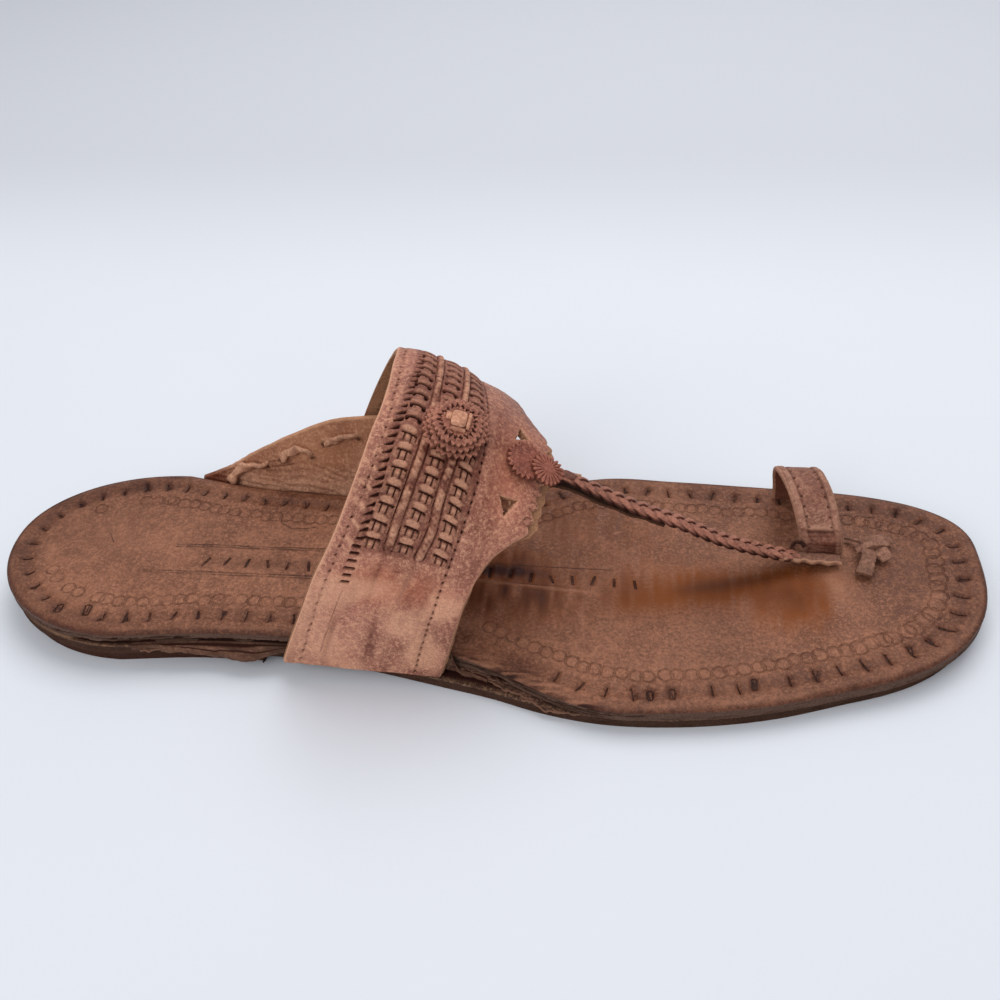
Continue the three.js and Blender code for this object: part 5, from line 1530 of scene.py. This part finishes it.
# x, y, z, width, thickness of each strip of the knot, and how it is turned about its length.
KNOT_STRIPS = [
    ([(110.6, 21.4, 9.3, 1.2, 0.8), (113.0, 19.6, 10.3, 1.9, 1.0), (115.8, 17.4, 11.2, 2.8, 1.3)], 0.5),
    ([(115.8, 16.0, 11.4, 3.8, 1.7), (116.0, 13.0, 11.7, 4.5, 1.7), (115.3, 9.8, 11.2, 4.9, 1.6),
      (114.3, 6.8, 10.1, 4.9, 1.5), (113.8, 5.2, 9.6, 4.6, 1.4)], 0.15),
    ([(117.8, 15.4, 11.0, 3.4, 1.8), (119.6, 13.6, 11.2, 4.2, 1.9), (120.8, 12.2, 10.5, 4.0, 1.7),
      (121.3, 11.6, 10.0, 3.6, 1.4)], -0.35),
    ([(112.8, 14.2, 10.6, 2.4, 1.4), (115.6, 14.9, 12.6, 3.2, 1.7), (119.0, 15.8, 12.7, 3.2, 1.7),
      (122.6, 17.4, 10.8, 2.4, 1.4)], 0.1),
    ([(114.8, 19.2, 10.4, 2.2, 1.5), (117.8, 18.0, 12.2, 3.0, 1.7), (121.0, 18.4, 11.8, 3.2, 1.6),
      (123.6, 19.8, 10.2, 2.4, 1.2)], -0.25),
]


def build_knot(material):
    skin = Skin("knotted_thong")
    for k, (rows, turn) in enumerate(KNOT_STRIPS):
        line, run = even_path(rows, 0.25)
        line[:, 2] += 0.14 * noise(run, 0 * run, 2.2, 155 + k)
        pinch = 1 + 0.12 * noise(run, 0 * run, 1.6, 160 + k)
        # The strips' sides, where they press against each other, are darkened with painted shade.
        painted_side_shade = 0.45 * smooth_step((np.abs(np.cos(2 * np.pi * (np.arange(22) + 0.5) / 22)) - 0.9) / 0.08)
        shade = 0.2 + 0.3 * noise(run, 0 * run, 2, 165 + k)[:, None] + painted_side_shade[None]
        add_sweep(skin, line[:, :3], line[:, 3] * pinch, line[:, 4] * pinch, sides=22, square=0.62,
                  roll=turn + 0.15 * np.sin(run / 2), rough=0.13, seed=157 + k, tone=shade, wear=0.25,
                  ends_raw=0.6)
    skin.build(material, ["toe_knot"])


# ---------------------------------------------------------------- rosettes

# CAD node, round, forward, radius, thickness, lift above the band, teeth.
ROSETTES = [
    ("rosette_lower", 80, 23.9, 9, 1.2, 0.4, 30), ("rosette_middle", 80, 23.9, 8.1, 1.2, 1.9, 28),
    ("rosette_upper", 80, 23.9, 6.9, 1.1, 3.4, 26), ("tip_rosette_rear", 81.9, 47.2, 5, 1.2, 0.4, 22),
    ("tip_rosette_front", 81.2, 53.6, 4.5, 1.2, 1.9, 20),
]
TOOTH_DEPTH = 0.11


def toothed_disc(skin, frame_at, radius, thick, teeth, crown, seed, rows=(), grooves=0.0, shadow=0.0,
                 tooth=TOOTH_DEPTH, **values):
    """A gimped leather disc: pointed teeth, a slight crown, and rows of small triangular cuts."""
    steps = teeth * 12
    angle = 2 * np.pi * np.arange(steps) / steps
    saw = np.abs(((angle * teeth / (2 * np.pi)) % 1) - 0.5) * 2
    rng = np.random.default_rng(seed)
    uneven = 1 + 0.05 * np.interp(angle, np.linspace(0, 2 * np.pi, teeth + 1),
                                  np.r_[rng.normal(0, 1, teeth), 0])
    gap = np.clip((saw - 0.12) / 0.88, 0, 1)
    reach = radius * (1 - tooth * gap) * uneven
    share = np.linspace(0, 1, 42)[1:]
    r = share[:, None] * reach[None]
    plain = share[:, None] * radius + 0 * r
    height = (thick + crown * (1 - share[:, None] ** 2)
              + 0.12 * noise(np.cos(angle) * r, np.sin(angle) * r, 2.2, seed))
    curl = np.interp(angle, np.linspace(0, 2 * np.pi, 9), np.r_[rng.uniform(-1, 1, 8), 0])
    height += 0.3 * curl * share[:, None] ** 4
    cut = np.zeros(r.shape)
    wear = 0.35 * smooth_step((share[:, None] - 0.82) / 0.15) * (1 - saw[None] * 0.6)
    for row_radius, row_depth, row_teeth in rows:
        point = np.abs(((angle * row_teeth / (2 * np.pi)) % 1) - 0.5) * 2
        edge = plain - row_radius
        notch = smooth_step((edge + 0.12) / 0.25) * smooth_step((row_depth * point[None] - edge) / 0.25)
        height -= 0.5 * notch
        height += 0.22 * bump(edge + 0.35, 0.4)
        cut = np.maximum(cut, 0.8 * notch)
        wear = np.maximum(wear, 0.45 * bump(edge + 0.3, 0.3) * (1 - point[None]))
    if grooves:
        valley = smooth_step((saw - 0.55) / 0.4)[None] * smooth_step((share[:, None] - 0.3) / 0.3)
        height -= grooves * valley
        cut = np.maximum(cut, 0.4 * valley)
    # shadow paints a dark ring on a lower disc where the disc above overlaps it: painted shade.
    if shadow:
        under = (smooth_step((share[:, None] - shadow + 0.1) / 0.06)
                 * smooth_step((shadow + 0.035 - share[:, None]) / 0.05))
        cut = np.maximum(cut, 0.75 * under)
    height -= 0.12 * smooth_step((share[:, None] - 0.96) / 0.04)
    flat = np.stack([r * np.cos(angle), r * np.sin(angle)], -1)
    skin.grid(frame_at(flat, height), close_columns=True, cut=cut, wear=wear, **values)
    middle = np.zeros((1, steps, 2))
    hub = frame_at(np.concatenate([middle, flat[:1]]), np.broadcast_to(height[:1], (2, steps)))
    skin.grid(hub, close_columns=True, **values)
    rim_share = np.linspace(0, 1, 4)[:, None]
    rim_height = height[-1][None] * (1 - rim_share)
    rim_flat = flat[-1][None] * (1 - 0.02 * rim_share[..., None])
    skin.grid(frame_at(rim_flat, rim_height), close_columns=True, raw=0.5, tone=0.3)
    # The disc's underside is darkened with painted shade.
    skin.grid(frame_at(np.concatenate([flat[-1:] * 0.98, middle]), np.zeros((2, steps))), close_columns=True,
              tone=0.5)


def band_seat(around, ahead, lift, tilt=(0.0, 0.0)):
    """Turns flat places and heights on a disc into points standing on the band."""
    spot, forward, side, normal = band_frame(np.array(float(around)), np.array(float(ahead)))

    def frame_at(flat, height):
        rise = lift + height + flat[..., 0] * tilt[0] + flat[..., 1] * tilt[1]
        return (spot + forward * flat[..., :1] + side * flat[..., 1:] + normal * rise[..., None])

    return frame_at


# The two discs at the band's tip spread a little wider at their teeth.
SPREAD = {"tip_rosette_rear": 1.16, "tip_rosette_front": 1.06}


def build_rosettes(material, dark_material, knob_material):
    looks = {
        "rosette_lower": dict(crown=0.1, tone=0.3, shadow=0.86),
        "rosette_middle": dict(crown=0.15, tone=0.2, shadow=0.81),
        "rosette_upper": dict(crown=0.5, rows=[(4.4, 1.3, 21)], tone=0.15),
        "tip_rosette_rear": dict(crown=0.1, tone=0.2, tooth=0.17),
        "tip_rosette_front": dict(crown=0.35, grooves=0.26, warm=0.3, tooth=0.18),
    }
    for k, (node, around, ahead, radius, thick, lift, teeth) in enumerate(ROSETTES):
        skin = Skin(node + "_leather")
        seat = band_seat(around, ahead, lift)
        toothed_disc(skin, seat, radius * SPREAD.get(node, 1), thick, teeth, seed=170 + k, **looks[node])
        paint = dark_material if node.startswith("tip") else material
        skin.build(paint, [node], sharp=40)

    seat = band_seat(ROSETTES[0][1], ROSETTES[0][2], 4.6)
    skin = Skin("folded_knob")
    add_pillow(skin, seat, (0.1, 0.1), (4.1, 4.5), 1.5, 0.9, 180)
    add_pillow(skin, seat, (2.7, 0.3), (1.1, 4.9), 2.0, 0.0, 181)
    add_pillow(skin, seat, (-2.6, 0.9), (1.5, 2.2), 0.7, 0.3, 182)
    add_pillow(skin, seat, (0.4, -2.5), (4.0, 1.0), 1.3, 0.0, 183)
    skin.build(knob_material, ["rosette_knob"], sharp=60)


def add_pillow(skin, seat, centre, size, thick, lift, seed):
    """A small folded scrap of leather with soft edges, on a seat's own plane."""
    turn = np.linspace(-math.pi / 2, math.pi / 2, 14)
    angle = 2 * np.pi * (np.arange(64) + 0.5) / 64
    across = np.sign(np.cos(angle)) * np.abs(np.cos(angle)) ** 0.45
    down = np.sign(np.sin(angle)) * np.abs(np.sin(angle)) ** 0.45
    shrink = np.cos(turn)[:, None] ** 0.4
    x = centre[0] + across[None] * size[0] / 2 * shrink
    y = centre[1] + down[None] * size[1] / 2 * shrink
    h = lift + thick / 2 + np.sin(turn)[:, None] * thick / 2 * (1 + 0.12 * noise(x, y, 1.1, seed))
    flat = np.stack([x, y], -1)
    skin.grid(seat(flat, h + 0 * x), close_columns=True, wear=0.25,
              tone=0.15 + 0.15 * noise(x, y, 1.6, seed + 1))


# Torn layers that show in the gap under the sole's outer edge: heelward end, toeward end, height
# between the outsole (0) and the top sole (1), how far they stand out, and how far they droop.
TORN_LAYERS = [
    (-16, 42, 0.04, 2.1, 0.5), (-12, 36, 0.30, 1.0, 0.3), (-8, 46, 0.56, 1.6, 0.35),
    (-12, 34, 0.80, 0.7, 0.1),
    (-4, 28, 1.0, 0.5, 0.0), (-100, -48, 0.05, 1.5, 0.6), (-90, -44, 0.34, 0.7, 0.2),
]


def build_torn_layers(material):
    skin = Skin("torn_waist_layers")
    for k, (start, end, level, stand, droop) in enumerate(TORN_LAYERS):
        x = np.linspace(start, end, int((end - start) / 0.3))[:, None]
        share = np.r_[np.linspace(0, 0.65, 5), np.linspace(0.72, 1, 13)][None]
        ends = smooth_step((x - start) / 5) * smooth_step((end - x) / 20)
        ragged = (0.8 * noise(x, 0 * x, 4.2, 190 + k) + 0.55 * noise(x, 0 * x, 1.3, 200 + k)
                  + 0.25 * noise(x, 0 * x, 0.6, 240 + k))
        reach = -4.5 + (4.5 + stand + ragged) * ends
        edge = -along(TOP_OUTLINE, 1, x)
        y = edge + 4.6 - (reach + 4.6) * share
        base = outsole_top(x) + 0.1 + (layer_gap(x) - 0.5) * level
        z = base + 0.45 * noise(x, share * 3, 5, 210 + k) * share - droop * share ** 2 * ends
        z = z + 0.12 * noise(x, share * 2, 1.1, 220 + k)
        thick = 0.42 * (1 - 0.4 * share)
        sheet = np.concatenate([np.stack([x + 0 * y, y, z + thick / 2], -1),
                                np.stack([x + 0 * y, y, z - thick / 2], -1)[:, ::-1]], 1)
        streak = np.clip(0.35 + 0.6 * noise(x * 0.25, share * 4, 1.0, 230 + k), 0, 1)
        both = np.concatenate([streak, streak[:, ::-1]], 1)
        lip = smooth_step((share - 0.93) / 0.05) + 0 * x
        rim = np.concatenate([lip, lip[:, ::-1]], 1)
        # The part of each layer that lies under the top sole is painted dark as shade.
        skin.grid(sheet, close_columns=True, tone=both * 0.9, wear=rim * 0.8, raw=0.15 + 0.4 * rim,
                  cut=0.8 * (1 - smooth_step((np.abs(sheet[..., 1] - edge) - 0.2) / 0.8))
                  * (sheet[..., 1] > edge)
                  + 0.85 * (sheet[..., 1] > edge + 1.0))
        for row in (0, -1):
            ring = sheet[row]
            skin.grid(np.stack([ring, np.broadcast_to(ring.mean(0), ring.shape)]),
                      close_columns=True, raw=0.6)
    skin.build(material, sharp=60)


def build_straps():
    ear = leather("ear_leather_paint", base=rgb(186, 146, 126), dark=rgb(140, 102, 86),
                  light=rgb(216, 178, 154),
                  warm=rgb(176, 126, 92), raw=rgb(196, 158, 132), roughness=(0.6, 0.82), patch=18, mottle=2.0)
    torn = leather("torn_ear_leather", base=rgb(96, 64, 55), dark=rgb(58, 36, 30), light=rgb(166, 134, 116),
                   warm=rgb(110, 64, 50), raw=rgb(112, 84, 72), roughness=(0.65, 0.85), patch=10, mottle=1.4)
    loop = leather("toe_loop_leather", base=rgb(168, 126, 114), dark=rgb(128, 90, 80),
                   light=rgb(206, 170, 152),
                   warm=rgb(150, 84, 60), raw=rgb(164, 130, 112), roughness=(0.5, 0.72), patch=14, mottle=1.8)
    lace = leather("braid_lace_leather", base=rgb(144, 94, 84), dark=rgb(86, 46, 40),
                   light=rgb(184, 134, 118),
                   warm=rgb(130, 60, 40), raw=rgb(160, 118, 94), roughness=(0.45, 0.68), patch=9, mottle=1.5)
    bare = leather("bare_lace_leather", base=rgb(134, 98, 86), dark=rgb(88, 60, 52), light=rgb(176, 140, 124),
                   warm=rgb(130, 80, 60), raw=rgb(170, 134, 108), roughness=(0.65, 0.85), patch=9, mottle=1.5)
    rosette = leather("rosette_leather_paint", base=rgb(157, 105, 93), dark=rgb(112, 69, 61),
                      light=rgb(202, 150, 132),
                      warm=rgb(150, 84, 60), raw=rgb(150, 108, 88), roughness=(0.5, 0.7), patch=8, mottle=1.3)
    dark = leather("dark_rosette_leather", base=rgb(150, 90, 80), dark=rgb(112, 62, 54),
                   light=rgb(186, 130, 114),
                   warm=rgb(146, 96, 84), raw=rgb(120, 80, 66), roughness=(0.45, 0.65), patch=8, mottle=1.3)
    knob = leather("knob_leather_paint", base=rgb(196, 146, 124), dark=rgb(150, 102, 86),
                   light=rgb(226, 184, 160),
                   warm=rgb(170, 110, 80), raw=rgb(190, 150, 124), roughness=(0.5, 0.7), patch=6, mottle=1.0)
    build_inner_ear(ear)
    build_outer_ear(torn)
    build_torn_layers(torn)
    build_toe_loop(loop)
    build_braid(lace, bare)
    build_knot(bare)
    build_rosettes(rosette, dark, knob)


# ---------------------------------------------------------------- camera, floor and light

CAMERA_PLACE = (40.4, -218.08, 225.6)
CAMERA_FORWARD = (-0.1124, 0.7521, -0.6494)
CAMERA_UP = (-0.0385, 0.6498, 0.7591)
CAMERA_LENS, SENSOR = 36.36, 36.0


def build_camera():
    data = bpy.data.cameras.new("camera")
    data.lens, data.sensor_width = CAMERA_LENS, SENSOR
    data.clip_start, data.clip_end = 0.005, 20
    camera = bpy.data.objects.new("camera", data)
    forward = Vector(CAMERA_FORWARD).normalized()
    right = forward.cross(Vector(CAMERA_UP)).normalized()
    up = right.cross(forward)
    turn = Matrix((right, up, -forward)).transposed().to_4x4()
    camera.matrix_world = Matrix.Translation(Vector(CAMERA_PLACE) * MM) @ turn
    bpy.context.scene.collection.objects.link(camera)
    bpy.context.scene.camera = camera


def build_floor():
    mesh = bpy.data.meshes.new("floor")
    reach = 6.0
    mesh.from_pydata([(-reach, -reach, 0), (reach, -reach, 0), (reach, reach, 0), (-reach, reach, 0)],
                     [], [(0, 1, 2, 3)])
    floor = bpy.data.objects.new("floor", mesh)
    bpy.context.scene.collection.objects.link(floor)
    tree = Tree("pale_floor")
    cloud = tree.noise(160, 2, 0.5)
    split = tree.nodes.new("ShaderNodeSeparateXYZ")
    tree.put(split.inputs[0], tree.position)
    # The floor is painted darker toward the back, as painted shade for the light falling off there.
    back = tree.ramp(split.outputs[1], 0.17, 0.36)
    near = tree.mix(cloud, (0.755, 0.78, 0.83), (0.795, 0.815, 0.865))
    tree.put(tree.shader.inputs["Base Color"], tree.mix(back, near, (0.64, 0.655, 0.70)))
    tree.shader.inputs["Roughness"].default_value = 0.75
    tree.shader.inputs["Specular IOR Level"].default_value = 0.2
    mesh.materials.append(tree.material)


def area_light(name, spot, target, size, power):
    data = bpy.data.lights.new(name, "AREA")
    data.shape, data.size, data.energy = "SQUARE", size, power
    light = bpy.data.objects.new(name, data)
    light.location = spot
    light.rotation_euler = (Vector(target) - Vector(spot)).to_track_quat("-Z", "Y").to_euler()
    bpy.context.scene.collection.objects.link(light)


def build_light():
    world = bpy.data.worlds.new("studio")
    world.use_nodes = True
    background = world.node_tree.nodes["Background"]
    background.inputs["Color"].default_value = (0.93, 0.96, 1.0, 1)
    background.inputs["Strength"].default_value = 0.52
    bpy.context.scene.world = world
    area_light("overhead", (0.15, 0.55, 1.1), (0, 0, 0), 0.9, 7.6)
    area_light("front_fill", (-0.5, -0.9, 0.9), (0, 0, 0.02), 0.8, 5.2)
    bpy.context.scene.view_settings.view_transform = "Standard"


build_camera()
build_floor()
build_light()
build_sole()
build_band()
build_straps()
